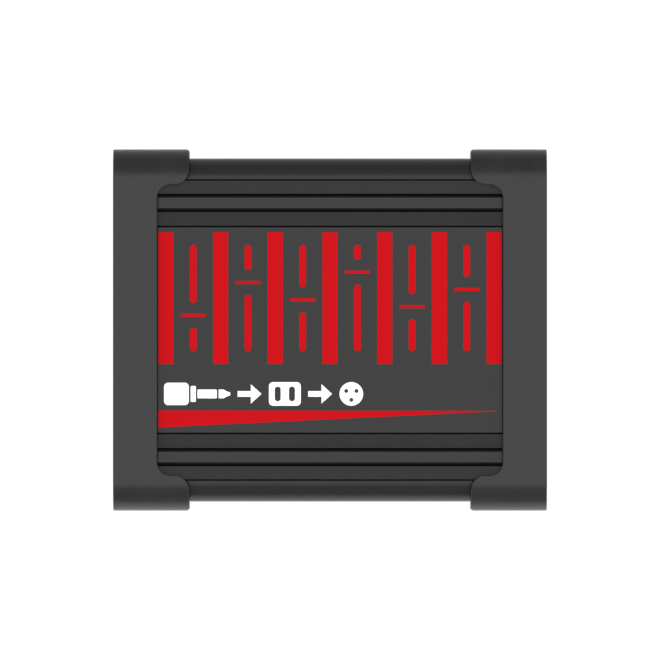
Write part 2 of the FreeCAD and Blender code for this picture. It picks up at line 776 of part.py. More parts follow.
def connector_shell(name, end, side, tilt, cavity, cavity_depth, barrel_depth, seat):
    """Flange, barrel and rim in one casting, with the cavity and a bore behind it."""
    shell = body(name)
    face = depth(end, 0)
    outwards, inwards = end == INPUT, end == OUTPUT
    plate = sketch(shell, name + "_flange_outline", "YZ_Plane", face)
    y, z = around(side, "flange_width/2"), around("connector_height", "flange_height/2")
    rectangle(plate, y, z, "flange_corner")
    pad(shell, name + "_flange", plate, "flange_thickness", backwards=outwards)
    flange_front = number(depth(end, "flange_thickness"))
    dress(
        shell, name + "_flange_edge", "Chamfer", "Size", "0.4", lambda e: at_x(e, flange_front)
    )
    barrel = sketch(shell, name + "_barrel_outline", "YZ_Plane", face)
    circle(barrel, side, "connector_height", "barrel_radius")
    pad(shell, name + "_barrel", barrel, barrel_depth, backwards=inwards)
    rim = sketch(shell, name + "_rim_outline", "YZ_Plane", depth(end, "flange_thickness"))
    circle(rim, side, "connector_height", "rim_radius")
    pad(shell, name + "_rim", rim, "rim_height", backwards=outwards)
    mouth = sketch(
        shell, name + "_cavity_outline", "YZ_Plane", depth(end, "flange_thickness + rim_height")
    )
    circle(mouth, side, "connector_height", cavity)
    length = f"{cavity_depth} + flange_thickness + rim_height"
    pocket(shell, name + "_cavity", mouth, length, forwards=end == INPUT)
    back = sketch(shell, name + "_back_outline", "YZ_Plane", depth(end, f"-({barrel_depth})"))
    circle(back, side, "connector_height", seat)
    pocket(shell, name + "_back", back, f"{barrel_depth} - {cavity_depth}", forwards=end == OUTPUT)
    screws = sketch(shell, name + "_screw_outlines", "YZ_Plane", depth(end, "flange_thickness"))
    for sign in (-1, 1):
        y = f"{side} + {sign * tilt}*flange_screw_y"
        circle(screws, y, f"connector_height + {sign}*flange_screw_z", "1.5")
    pocket(shell, name + "_screws", screws, "flange_thickness + 1", forwards=end == INPUT)
    return shell


def female_connector():
    """Input socket: shell, insert with three contacts, and the latch on its pin."""
    side, z, end = "xlr_in_side", "connector_height", INPUT
    hinge = (depth(end, "latch_axis_out"), f"{z} + latch_axis_up")
    pin_ends = around(side, "4.8")
    shell = connector_shell(
        "xlr_in_casting", end, side, -1, "female_cavity", "female_floor", "female_back", "female_seat"
    )
    slot = box("latch_slot", span(end, "-10.4", "3"), around(side, "3.3"), (f"{z} + 8", f"{z} + 13.7"))
    pin_bore = rod("latch_pin_bore", "y", pin_ends, hinge, "latch_pin_radius")
    keep("xlr_in_shell", cut("xlr_in_shell_cut", shell, slot, pin_bore))

    nose = rod("insert_nose", "x", span(end, "-female_floor", "0.6"), (side, z), "7.8")
    root = rod(
        "insert_root", "x", span(end, "1 - female_back", "-female_floor"), (side, z), "female_seat - 0.05"
    )
    key_height = (f"{z} - 8", f"{z} - 6.7")
    key = box("insert_key", span(end, "-12.8", "1"), around(side, "0.9"), key_height)
    holes, sockets = [], []
    for i, middle in enumerate(contact_places(side), 1):
        holes.append(rod(f"insert_hole_{i}", "x", span(end, "-female_back", "1"), middle, "1.5"))
        tube = rod(f"socket_tube_{i}", "x", span(end, "-19", "-0.3"), middle, "1.5")
        bore = rod(f"socket_bore_{i}", "x", span(end, "-12", "0"), middle, "pin_radius + 0.03")
        tail = rod(f"socket_tail_{i}", "x", span(end, "-socket_tail", "-19"), middle, "0.8")
        sockets.append(cut(f"socket_{i}", fuse(f"socket_blank_{i}", tube, tail), bore))
    keep("xlr_in_insert", cut("xlr_in_insert_cut", fuse("insert_blank", nose, root), key, *holes))
    keep("xlr_in_contacts", group("xlr_in_contacts_group", *sockets))

    tab_height, arm_height = (f"{z} + 10.0", f"{z} + 13.3"), (f"{z} + 10.3", f"{z} + 11.3")
    tooth_height = (f"{z} + 9.0", f"{z} + 10.4")
    tab = box("latch_tab", span(end, "0.3", "3.6"), around(side, "3.0"), tab_height)
    thumb = soften("latch_thumb", tab, "0.5", lambda e: at_x(e, number(depth(end, "3.6"))))
    arm = box("latch_arm", span(end, "-9.4", "0.4"), around(side, "2.2"), arm_height)
    tooth = box("latch_tooth", span(end, "-7.4", "-5.9"), around(side, "1.6"), tooth_height)
    eye = rod("latch_eye", "y", around(side, "3.5"), hinge, "latch_pin_radius + 0.05")
    keep("xlr_in_latch", cut("xlr_in_latch_cut", fuse("latch_blank", thumb, arm, tooth), eye))
    keep("xlr_in_latch_pin", rod("latch_pin", "y", pin_ends, hinge, "latch_pin_radius"))


def male_connector():
    """Output plug: shell with the latch window and key, insert and three pins."""
    side, z, end = "xlr_out_side", "connector_height", OUTPUT
    casting = connector_shell(
        "xlr_out_casting", end, side, 1, "male_cavity", "male_floor", "male_back", "male_seat"
    )
    window_height, key_height = (f"{z} + 7.5", f"{z} + 9.6"), (f"{z} - 8.6", f"{z} - 7.2")
    window = box("latch_window", span(end, "-5", "-2"), around(side, "2.4"), window_height)
    key = box("shell_key", span(end, "-male_floor", "1"), around(side, "0.7"), key_height)
    keep("xlr_out_shell", cut("xlr_out_shell_cut", fuse("xlr_out_keyed", casting, key), window))
    disc = rod(
        "pin_disc", "x", span(end, "0.2 - male_back", "-male_floor"), (side, z), "male_seat - 0.05"
    )
    holes, pins = [], []
    for i, middle in enumerate(contact_places(side), 1):
        holes.append(rod(f"pin_hole_{i}", "x", span(end, "-18", "-12"), middle, "pin_radius"))
        shaft = rod(f"pin_shaft_{i}", "x", span(end, "-pin_tail", "-0.6"), middle, "pin_radius")
        tip = cone(f"pin_tip_{i}", "x", span(end, "-0.6", "0.3"), middle, "pin_radius", "0.55")
        pins.append(fuse(f"pin_{i}", shaft, tip))
    keep("xlr_out_insert", cut("xlr_out_insert_cut", disc, *holes))
    keep("xlr_out_pins", group("xlr_out_pins_group", *pins))


# ---------------------------------------------------------------- jacks
def leaf(name, points, z):
    """A bent strip of spring metal 0.3 thick: points are (x, y) along it."""
    strip = body(name)
    low, high = z
    drawing = sketch(strip, name + "_outline", "XY_Plane", low)
    edge = [(x, y) for x, y in points] + [(x, f"({y}) + 0.3") for x, y in points[::-1]]
    outline(drawing, edge)
    pad(strip, name + "_strip", drawing, f"({high}) - ({low})")
    return strip


def jack(name, side):
    """A board-mounted jack: moulded housing, threaded bushing, washer, nut and contacts."""
    z, end = "connector_height", INPUT
    along, height = span(end, "-jack_rear", "-panel_thickness"), ("board_top", f"{z} + 9")
    block = box(f"{name}_block", along, around(side, "8"), height)
    soft = soften(f"{name}_soft_block", block, "0.6", along_x)
    well = box(f"{name}_well", span(end, "-jack_rear - 1", "-5"), around(side, "6"), around(z, "5.6"))
    neck = rod(f"{name}_neck", "x", span(end, "-6", "0"), (side, z), "bushing_radius + 0.05")
    keep(f"{name}_housing", cut(f"{name}_housing_cut", soft, well, neck))

    profile = [("jack_bore", "-7"), ("5.4", "-7"), ("5.4", "-5"), ("bushing_radius", "-5")]
    ridges = 3
    pitch = 0.7
    for ridge in range(ridges):
        foot = f"bushing_reach - 0.5 - {(ridges - ridge) * pitch}"
        profile += [("bushing_radius", foot), ("bushing_radius - 0.3", f"{foot} + {pitch / 2}")]
    profile += [
        ("bushing_radius", "bushing_reach - 0.5"),
        ("bushing_radius - 0.4", "bushing_reach"),
        ("jack_bore + 0.4", "bushing_reach"),
        ("jack_bore", "bushing_reach - 0.4"),
    ]
    barrel = turned(f"{name}_barrel", profile, "x", depth(end, 0), (side, z), flip=True)
    keep(f"{name}_bushing", barrel)

    ring = rod(f"{name}_ring", "x", span(end, "0", "washer_thickness"), (side, z), "washer_radius")
    hole = rod(f"{name}_ring_hole", "x", span(end, "-1", "2"), (side, z), "bushing_radius + 0.1")
    washer = cut(f"{name}_washer_cut", ring, hole)

    corner = "nut_flats/2/cos(30)"
    hexagon = doc.addObject("Part::Prism", f"{name}_hexagon")
    hexagon.Polygon = 6
    bind(hexagon, "Circumradius", corner)
    bind(hexagon, "Height", "nut_thickness")
    place(hexagon, "x", depth(end, "washer_thickness + nut_thickness"), (side, z))
    lens = turned(
        f"{name}_lens",
        [
            ("bushing_radius + 0.02", "0"),
            (corner, "0"),
            (corner, "nut_thickness - 0.6"),
            (f"{corner} - 1", "nut_thickness"),
            ("bushing_radius + 0.02", "nut_thickness"),
        ],
        "x", depth(end, "washer_thickness"), (side, z), flip=True,
    )
    nut = common(f"{name}_nut_cut", hexagon, lens)

    floor = f"{z} - 1.4"
    strips = []
    for label, sign, reach, touch in (("tip", 1, "-24", "-22"), ("ring", -1, "-18", "-16")):
        base = f"{side} + {sign}*5.2 - 0.15"
        near = f"{side} + {sign}*3.4 - 0.15"
        path = [
            (depth(end, "-jack_tag"), base),
            (depth(end, reach), base),
            (depth(end, touch), near),
            (depth(end, f"{touch} + 2"), f"{near} + {sign}*0.9"),
        ]
        strips.append(leaf(f"{name}_{label}_leaf", path, (floor, f"{floor} + 2.8")))
    for index, sign in enumerate((1, -1)):
        foot = box(
            f"{name}_foot_{index}",
            span(end, "-jack_tag - 0.3", "-jack_tag"),
            around(f"{side} + {sign}*5.2", "1"),
            ("board_top", f"{floor} + 2.8"),
        )
        strips[index] = fuse(f"{name}_contact_{index}", strips[index], foot)
    keep(f"{name}_contacts", group(f"{name}_contacts_group", *strips))
    return washer, nut


def jacks():
    """Both jacks; their washers and their nuts are alike and share a node each."""
    rings = [jack("jack_input", "jack_input_side"), jack("jack_link", "jack_link_side")]
    keep("jack_washers", group("jack_washer_group", *[washer for washer, nut in rings]))
    keep("jack_nuts", group("jack_nut_group", *[nut for washer, nut in rings]))


# ---------------------------------------------------------------- switches
def coil(name, end, inner, length, y, z, mean_radius, wire_radius, turns):
    """A compression spring along X."""
    spring = body(name)
    drawing = sketch(spring, name + "_wire", "XZ_Plane")
    circle(drawing, mean_radius, wire_radius, wire_radius)
    winding = spring.newObject("PartDesign::AdditiveHelix", name + "_coil")
    winding.Profile = drawing
    winding.ReferenceAxis = (drawing, ["V_Axis"])
    winding.Mode = "height-turns-angle"
    bind(winding, "Height", f"({length}) - 2*({wire_radius})")
    winding.Turns = turns
    low = span(end, inner, f"{inner} + ({length})")[0]
    place(spring, "x", low, (y, z))
    return spring


def push_switch(name, end, side):
    """A latching push switch on the board: housing, button with its plunger, and spring."""
    z = "switch_height"
    case = box(
        f"{name}_case", span(end, "-18", "-4"), around(side, "4.2"), ("board_top", f"{z} + 5")
    )
    soft = soften(f"{name}_soft_case", case, "0.4", along_x)
    well = box(f"{name}_well", span(end, "-16.8", "-5.5"), around(side, "3.1"), around(z, "3.1"))
    throat = box(f"{name}_throat", span(end, "-6", "-3"), around(side, "1.8"), around(z, "1.8"))
    keep(f"{name}_housing", cut(f"{name}_housing_cut", soft, well, throat))

    profile = [
        ("0", "-1.2"),
        ("button_radius", "-1.2"),
        ("button_radius", "button_reach - 0.7"),
        ("button_radius - 0.25", "button_reach - 0.2"),
        ("button_radius - 0.8", "button_reach"),
        ("1.6", "button_reach"),
        ("0", "button_reach - 0.35"),
    ]
    cap = turned(f"{name}_cap", profile, "x", depth(end, 0), (side, z), flip=end == INPUT)
    stem = box(f"{name}_stem", span(end, "-6.9", "-1.1"), around(side, "1.6"), around(z, "1.6"))
    collar = box(f"{name}_collar", span(end, "-6.9", "-5.6"), around(side, "2.8"), around(z, "2.8"))
    guide = rod(f"{name}_guide", "x", span(end, "-12.5", "-6.8"), (side, z), "1.1")
    keep(f"{name}_button", fuse(f"{name}_plunger", cap, stem, collar, guide))
    keep(f"{name}_spring", coil(f"{name}_coil_spring", end, "-16.7", "9.7", side, z, "1.9", "0.2", 6))


def power_switch():
    """A slide switch behind the panel: frame, moulded base, lever, terminals, screws."""
    y, z, end = "power_side", "connector_height", OUTPUT
    screw_heights = [f"{z} + {level}*power_screw_up" for level in (-1, 1)]
    plate = box(
        "power_plate", span(end, "-2.3", "-panel_thickness"), around(y, "3.6"), around(z, "11.6")
    )
    gate = box("power_gate", span(end, "-3", "-1"), around(y, "1.8"), around(z, "4.4"))
    taps = [
        rod(f"power_tap_{i}", "x", span(end, "-3", "-1"), (y, height), "1.0")
        for i, height in enumerate(screw_heights)
    ]
    keep("power_switch_frame", cut("power_frame_cut", plate, gate, *taps))
    block = box("power_block", span(end, "-8.6", "-2.3"), around(y, "3.5"), around(z, "6.8"))
    well = box("power_well", span(end, "-7.4", "-2"), around(y, "2.8"), around(z, "5.7"))
    keep("power_switch_base", cut("power_base_cut", block, well))
    rest = f"{z} - power_travel/2"
    slider = box("power_slider", span(end, "-6.8", "-3"), around(y, "2.6"), around(rest, "3.2"))
    stem = box("power_stem", span(end, "-3.2", "3.4"), around(y, "1.5"), around(rest, "1.9"))
    front = number(depth(end, "3.4"))
    thumb = soften("power_thumb", stem, "0.4", lambda e: at_x(e, front))
    grooves, tags = [], []
    for i in range(3):
        height = around(f"{rest} + {i - 1}*1.1", "0.2")
        grooves.append(box(f"power_groove_{i}", span(end, "3.05", "4"), around(y, "2"), height))
        height = around(f"{z} + {i - 1}*4", "0.3")
        tags.append(box(f"power_tag_{i}", span(end, "-power_tag", "-8.6"), around(y, "0.8"), height))
    keep("power_switch_lever", cut("power_lever_cut", fuse("power_lever_blank", slider, thumb), *grooves))
    keep("power_switch_terminals", group("power_tags", *tags))
    screws = [
        screw(f"power_screw_{i}", end, "0", y, height, "1.9", "1.3", "1.0", "3.2")
        for i, height in enumerate(screw_heights)
    ]
    keep("power_switch_screws", group("power_screws", *screws))


def indicator():
    """The power lamp: a 3 mm lamp in a snap-in bezel, with its leads to the board."""
    y, z, end = "led_side", "led_height", OUTPUT
    flange = [
        ("1.55", "-4"), ("2.1", "-4"), ("2.1", "0"), ("2.9", "0"),
        ("2.9", "0.5"), ("2.5", "0.9"), ("1.55", "0.9"),
    ]
    keep("led_bezel", turned("led_bezel_turned", flange, "x", depth(end, 0), (y, z)))
    stem = rod("led_stem", "x", span(end, "-5", "0.8"), (y, z), "1.5")
    dome = ball("led_dome", (depth(end, "0.8"), y, z), "1.5")
    brim = rod("led_brim", "x", span(end, "-6", "-5"), (y, z), "1.9")
    keep("led_lamp", fuse("led_lamp_blank", stem, dome, brim))


# ---------------------------------------------------------------- battery drawer
def battery_sleeve(y, z, end):
    """The fixed sleeve with the frame round its mouth."""
    half_w, half_h = "sleeve_width/2", "sleeve_height/2"
    tube = box("drawer_sleeve", span(end, "-sleeve_depth", "0.2"), around(y, half_w), around(z, half_h))
    across, height = around(y, "bezel_width/2"), around(z, "bezel_height/2")
    frame = box("drawer_frame", span(end, "0", "bezel_thickness"), across, height)
    framed = soften("drawer_frame_soft", frame, "2.2", along_x)
    front = number(depth(end, "bezel_thickness"))
    framed = soften("drawer_frame_edge", framed, "0.5", lambda e: at_x(e, front))
    inside = box(
        "drawer_inside",
        span(end, "sleeve_wall - sleeve_depth", "3"),
        around(y, f"{half_w} - sleeve_wall"),
        around(z, f"{half_h} - sleeve_wall"),
    )
    slots = []
    for i, sign in enumerate((-1, 1)):
        across, height = around(f"{y} + {sign}*snap_offset", "1.6"), around(f"{z} - 4", "0.6")
        along = span(end, "-sleeve_depth - 1", "2 - sleeve_depth")
        slots.append(box(f"drawer_slot_{i}", along, across, height))
    blank = fuse("drawer_blank", tube, framed)
    keep("battery_sleeve", cut("drawer_sleeve_cut", blank, inside, *slots))


def battery_tray(y, z, end):
    """The sliding tray; gives back the height of its floor, which the battery lies on."""
    half = "sleeve_width/2 - sleeve_wall - tray_gap"
    half_height = "sleeve_height/2 - sleeve_wall - tray_gap"
    low = f"{z} - ({half_height})"
    back = "-1.5 - battery_front - battery_length"
    along, across = span(end, back, "0"), around(y, half)
    floor = box("tray_floor", along, across, (low, f"{low} + 1.2"))
    walls = []
    for i, sign in enumerate((-1, 1)):
        edges = (f"{y} + {sign}*({half})", f"{y} + {sign}*({half} - tray_wall)")
        walls.append(box(f"tray_wall_{i}", along, sorted(edges, key=number), (low, f"{z} + 2")))
    stop = box("tray_stop", span(end, back, f"{back} + 1.2"), across, (low, f"{z} - 4.5"))
    front = number(depth(end, "bezel_thickness"))
    face = box("tray_face", span(end, "-2.4", "bezel_thickness"), across, around(z, half_height))
    face = soften("tray_face_soft", face, "0.8", along_x)
    face = soften("tray_face_edge", face, "0.3", lambda e: at_x(e, front))
    grip = box("tray_grip", span(end, "1", "4.4"), around(y, "9"), around(z, "1.7"))
    grip_front = number(depth(end, "4.4"))
    grip = soften("tray_grip_soft", grip, "1.2", lambda e: at_x(e, grip_front))
    keep("battery_tray", fuse("tray_blank", floor, *walls, stop, face, grip))
    return f"{low} + 1.2"


def battery_drawer():
    """A nine-volt block in a tray that slides out of a sleeve through the output panel."""
    y, z, end = "drawer_side", "drawer_height", OUTPUT
    battery_sleeve(y, z, end)
    low = battery_tray(y, z, end)
    rear = "-battery_front - battery_length"
    across, height = around(y, "battery_width/2"), (low, f"{low} + battery_thickness")
    cell = box("battery_block", span(end, rear, "-battery_front"), across, height)
    keep("battery", soften("battery_soft", cell, "1.5", along_x))
    heart = f"{low} + battery_thickness/2"
    snap = span(end, f"{rear} - 2", rear)
    left, right = (f"{y} - snap_offset", heart), (f"{y} + snap_offset", heart)
    plus = rod("battery_plus", "x", snap, left, "2.9")
    minus = rod("battery_minus_ring", "x", snap, right, "3.8")
    cup = rod("battery_minus_cup", "x", span(end, f"{rear} - 3", f"{rear} - 0.6"), right, "2.9")
    terminals = group("battery_terminals_group", plus, cut("battery_minus", minus, cup))
    keep("battery_terminals", terminals)

    wall = "-sleeve_depth"
    touch = f"{rear} - 2.5"
    springs = []
    for i, sign in enumerate((-1, 1)):
        strip = body(f"battery_spring_{i}")
        near_side = f"{y} + {sign}*snap_offset - 1.4"
        drawing = sketch(strip, f"battery_spring_{i}_outline", "XZ_Plane", f"-({near_side})")
        front_edge = [
            (f"{wall} - contact_tail", f"{z} - 4.15"),
            (f"{wall} + 2.0", f"{z} - 4.15"),
            (f"{touch} + 0.3", heart),
            (f"{wall} + 2.3", f"{z} + 5"),
        ]
        back_edge = [
            (f"{wall} + 2.0", f"{z} + 5"),
            (f"{touch} - 0.1", heart),
            (f"{wall} + 1.8", f"{z} - 3.85"),
            (f"{wall} - contact_tail", f"{z} - 3.85"),
        ]
        outline(drawing, [(depth(end, u), v) for u, v in front_edge + back_edge])
        pad(strip, f"battery_spring_{i}_strip", drawing, "2.8", backwards=True)
        springs.append(strip)
    keep("battery_contacts", group("battery_contacts_group", *springs))


# ---------------------------------------------------------------- leads
def lead(name, end, start, y, z, radius, straight, bend):
    """A wire that runs inwards from depth start, bends down and ends on the board."""
    inward = -end
    x = number(depth(end, start))
    y, z, floor = number(y), number(z), number("board_top")
    first = Vector(x, y, z)
    turn = Vector(x + inward * straight, y, z)
    drop = Vector(x + inward * (straight + bend), y, z - bend)
    mid = Vector(turn.x + inward * bend * 0.7071067811865476, y, z - bend * (1 - 0.7071067811865476))
    edges = [
        Part.LineSegment(first, turn).toShape(),
        Part.Arc(turn, mid, drop).toShape(),
        Part.LineSegment(drop, Vector(drop.x, y, floor)).toShape(),
    ]
    ring = Part.Wire([Part.Circle(first, Vector(1, 0, 0), radius).toShape()])
    wire = doc.addObject("Part::Feature", name)
    wire.Shape = Part.Wire(edges).makePipeShell([ring], True, True)
    return wire


def leads():
    """The wires between the panels' parts and the board."""
    radius, bend = number("lead_radius"), number("lead_bend")
    for node, end, side, start in (
        ("xlr_in_leads", INPUT, "xlr_in_side", "-socket_tail"),
        ("xlr_out_leads", OUTPUT, "xlr_out_side", "-pin_tail"),
    ):
        made = [
            lead(f"{node}_{i}", end, start, y, z, radius, 2.0, bend)
            for i, (y, z) in enumerate(contact_places(side))
        ]
        keep(node, group(f"{node}_group", *made))
    for node, sign in (("battery_lead_red", -1), ("battery_lead_black", 1)):
        y, start = f"drawer_side + {sign}*snap_offset", "-sleeve_depth - contact_tail"
        keep(node, lead(node, OUTPUT, start, y, "drawer_height - 4", radius, 1.5, 3.5))
    made = []
    for i in range(3):
        z = f"connector_height + {i - 1}*4"
        straight = 1 + 2.2 * i
        made.append(lead(f"power_lead_{i}", OUTPUT, "-power_tag", "power_side", z, radius, straight, 4))
    for sign in (-1, 1):
        y = f"led_side + {sign}*1.27"
        made.append(lead(f"lamp_lead_{len(made)}", OUTPUT, "-6", y, "led_height", 0.3, 13.5, 1.5))
    keep("power_leads", group("power_leads_group", *made))


# ---------------------------------------------------------------- board and what stands on it
def circuit_board():
    board = body("board_blank")
    drawing = sketch(board, "board_outline", "XY_Plane", "board_top - board_thickness")
    far = f"{EXTRUSION_END} - board_end_gap"
    w = "board_half_width"
    in_low, in_high = "xlr_in_side - 13", "xlr_in_side + 13"
    out_low, out_high = "xlr_out_side - 13", "xlr_out_side + 13"
    in_back, out_back = depth(INPUT, "0.5 - socket_tail"), depth(OUTPUT, "0.5 - pin_tail")
    rounded_outline(
        drawing,
        [
            (f"-({far})", f"-{w}", "0"),
            (far, f"-{w}", "0"),
            (far, out_low, "0"),
            (out_back, out_low, "1"),
            (out_back, out_high, "1"),
            (far, out_high, "0"),
            (far, w, "0"),
            (f"-({far})", w, "0"),
            (f"-({far})", in_high, "0"),
            (in_back, in_high, "1"),
            (in_back, in_low, "1"),
            (f"-({far})", in_low, "0"),
        ],
    )
    pad(board, "board_sheet", drawing, "board_thickness")
    keep("circuit_board", board)


def transformer():
    """Output transformer: laminated core on a moulded bobbin, inside a shielding can."""
    x, y, floor = "transformer_x", "transformer_y", "board_top"

    def upright(edge):
        return abs(edge.tangentAt(edge.FirstParameter).z) > 0.9

    top = f"{floor} + can_height"
    crown = number(top)
    can = box("can_outer", around(x, "15"), around(y, "13.5"), (floor, top))
    can = soften("can_soft", can, "1.5", upright)
    can = soften("can_crown", can, "0.8", lambda e: abs(e.BoundBox.ZMin - crown) < 0.01)
    inside = (f"{floor} - 1", f"{top} - 0.7")
    hollow = box("can_hollow", around(x, "14.3"), around(y, "12.8"), inside)
    keep("transformer_can", cut("can_cut", can, hollow))

    block = box("core_block", around(x, "12"), around(y, "9"), (f"{floor} + 3", f"{floor} + 22"))
    windows, ends, feet = [], [], []
    for i, sign in enumerate((-1, 1)):
        gap = (f"{floor} + 6", f"{floor} + 19")
        windows.append(box(f"core_window_{i}", around(f"{x} + {sign}*5.5", "2.5"), around(y, "10"), gap))
        disc = around(f"{floor} + 12.5 + {sign}*6", "0.4")
        ends.append(box(f"spool_end_{i}", around(x, "7.8"), around(y, "12.5"), disc))
        sides = sorted((f"{y} + {sign}*9.1", f"{y} + {sign}*12.5"), key=number)
        feet.append(box(f"spool_foot_{i}", around(x, "7.8"), sides, (floor, f"{floor} + 6.5")))
    keep("transformer_core", cut("core_cut", block, *windows))
    tube = box("spool_tube", around(x, "3.7"), around(y, "9.7"), (f"{floor} + 6.1", f"{floor} + 18.9"))
    leg = box("spool_leg", around(x, "3"), around(y, "9"), (f"{floor} + 5", f"{floor} + 20"))
    keep("transformer_bobbin", cut("bobbin_cut", fuse("bobbin_blank", tube, *ends, *feet), leg))
    wound = (f"{floor} + 6.9", f"{floor} + 18.1")
    coil_block = box("coil_block", around(x, "7.6"), around(y, "12.3"), wound)
    hole = box("coil_hole", around(x, "3.7"), around(y, "9.7"), (f"{floor} + 6", f"{floor} + 19"))
    keep("transformer_winding", cut("coil_cut", soften("coil_soft", coil_block, "3", upright), hole))


def small_components():
    """Amplifiers, capacitors and resistors on the board."""
    floor = "board_top"
    chips = []
    for i, (x, y) in enumerate(((-24, 8), (-24, -14))):
        package = box(
            f"chip_{i}_package", around(x, 4.8), around(y, 3.2), (f"{floor} + 0.6", f"{floor} + 4")
        )
        notch = rod(f"chip_{i}_notch", "z", (f"{floor} + 3.4", f"{floor} + 5"), (x - 4.8, y), 0.9)
        legs = [
            box(
                f"chip_{i}_leg_{k}_{side}",
                around(x + (k - 1.5) * 2.54, 0.3),
                sorted((y + side * 3.0, y + side * 3.9)),
                (floor, f"{floor} + 2.2"),
            )
            for k in range(4)
            for side in (-1, 1)
        ]
        chips.append(cut(f"chip_{i}", fuse(f"chip_{i}_blank", package, *legs), notch))
    keep("op_amps", group("op_amps_group", *chips))

    cans = []
    places = [(-6, -44, 4, 12), (-6, -32, 4, 12), (-6, 6, 3.15, 11), (-6, 16, 3.15, 11),
              (-40, -36, 2.5, 9), (-40, -46, 2.5, 9)]
    for i, (x, y, radius, tall) in enumerate(places):
        profile = [
            (0, 0), (radius - 0.3, 0), (radius, 0.3), (radius, 1.2), (radius - 0.35, 1.6),
            (radius, 2.0), (radius, tall - 0.4), (radius - 0.4, tall), (0, tall),
        ]
        cans.append(turned(f"capacitor_{i}", profile, "z", floor, (x, y)))
    keep("electrolytic_capacitors", group("electrolytic_group", *cans))

    films = []
    for i, (x, y) in enumerate(((-17, -30), (-12, -30), (-22, 40), (-17, 40), (-12, 40))):
        block = box(f"film_{i}_block", around(x, 1.3), around(y, 3.6), (floor, f"{floor} + 7"))
        films.append(soften(f"film_{i}", block, "0.6", lambda e: True))
    keep("film_capacitors", group("film_group", *films))

    resistors = []
    rows = [(-33 + 3.2 * k, 24) for k in range(6)] + [(-33 + 3.2 * k, -2.5) for k in range(5)]
    for i, (x, y) in enumerate(rows):
        core = rod(f"resistor_{i}_core", "y", around(y, 3.0), (x, f"{floor} + 1.4"), 0.95)
        caps = [
            rod(f"resistor_{i}_cap_{k}", "y", around(y + side * 2.4, 0.7), (x, f"{floor} + 1.4"), 1.2)
            for k, side in enumerate((-1, 1))
        ]
        axle = rod(f"resistor_{i}_axle", "y", around(y, 4.4), (x, f"{floor} + 1.4"), 0.3)
        pegs = [
            rod(f"resistor_{i}_peg_{k}", "z", (floor, f"{floor} + 1.75"), (x, y + side * 4.4), 0.35)
            for k, side in enumerate((-1, 1))
        ]
        resistors.append(fuse(f"resistor_{i}", core, *caps, axle, *pegs))
    keep("resistors", group("resistor_group", *resistors))


# ---------------------------------------------------------------- build and write
def build():
    enclosure_body()
    top_label()
    bumper("input_bumper", INPUT)
    bumper("output_bumper", OUTPUT)
    panel("input_panel", INPUT, drill_input)
    panel("output_panel", OUTPUT, drill_output)
    panel_screws("input_panel_screws", INPUT)
    panel_screws("output_panel_screws", OUTPUT)
    female_connector()
    male_connector()
    flange_screws()
    jacks()
    push_switch("pad_a", INPUT, "pad_a_side")
    push_switch("pad_b", INPUT, "pad_b_side")
    push_switch("ground_lift", OUTPUT, "ground_lift_side")
    power_switch()
    indicator()
    battery_drawer()
    leads()
    circuit_board()
    transformer()
    small_components()


def write():
    """Checks every object, then writes one STEP file for each sub-part."""
    doc.recompute()
    broken = [o.Label for o in doc.Objects if {"Invalid", "Error"} & set(o.State)]
    if broken:
        raise RuntimeError(f"failed objects: {broken}")
    os.makedirs("parts", exist_ok=True)
    for node, thing in sorted(nodes.items()):
        shape = thing.Shape
        if shape.isNull() or not shape.isValid() or not shape.Solids:
            raise RuntimeError(f"{node} has no valid solid")
        shape.exportStep(f"parts/{node}.step")
        print(f"{node}: {len(shape.Solids)} solid(s), {shape.Volume:.1f} mm3")
    print(f"{len(nodes)} sub-parts")


build()
write()
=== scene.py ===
"""Looks of the direct injection box, built around its CAD frame. Metres, the frame's own axes."""

import json
import math

import bmesh
import bpy
from mathutils import Matrix, Vector


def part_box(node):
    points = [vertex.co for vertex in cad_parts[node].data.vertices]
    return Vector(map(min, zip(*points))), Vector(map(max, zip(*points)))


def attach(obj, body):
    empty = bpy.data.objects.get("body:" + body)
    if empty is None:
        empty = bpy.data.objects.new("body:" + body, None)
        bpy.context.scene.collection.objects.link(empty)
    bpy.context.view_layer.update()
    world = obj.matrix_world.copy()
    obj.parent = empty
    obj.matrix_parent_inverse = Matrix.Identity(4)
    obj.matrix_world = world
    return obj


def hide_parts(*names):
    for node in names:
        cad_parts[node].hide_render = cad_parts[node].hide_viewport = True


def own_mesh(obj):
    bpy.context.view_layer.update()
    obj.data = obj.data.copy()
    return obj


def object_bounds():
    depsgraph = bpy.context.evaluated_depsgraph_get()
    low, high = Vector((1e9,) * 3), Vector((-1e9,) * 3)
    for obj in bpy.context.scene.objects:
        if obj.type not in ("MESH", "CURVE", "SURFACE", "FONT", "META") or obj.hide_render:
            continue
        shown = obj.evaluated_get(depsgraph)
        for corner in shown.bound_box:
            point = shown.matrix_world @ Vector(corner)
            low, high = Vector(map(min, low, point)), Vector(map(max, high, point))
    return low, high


MM = 0.001

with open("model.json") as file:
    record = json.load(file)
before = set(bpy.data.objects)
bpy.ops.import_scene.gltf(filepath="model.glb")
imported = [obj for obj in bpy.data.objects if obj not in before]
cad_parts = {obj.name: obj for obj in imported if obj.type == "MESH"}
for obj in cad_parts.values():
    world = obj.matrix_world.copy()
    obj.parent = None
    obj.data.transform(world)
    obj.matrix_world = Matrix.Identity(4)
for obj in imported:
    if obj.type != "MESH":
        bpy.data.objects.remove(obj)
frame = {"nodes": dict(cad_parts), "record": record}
nodes = frame["nodes"]
cad_low, cad_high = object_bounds()


def middle(node):
    """The middle of a CAD node's box."""
    low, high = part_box(node)
    return (low + high) / 2


# ---------------------------------------------------------------- materials
def link(tree, source, socket, target, name):
    tree.links.new(source.outputs[socket], target.inputs[name])


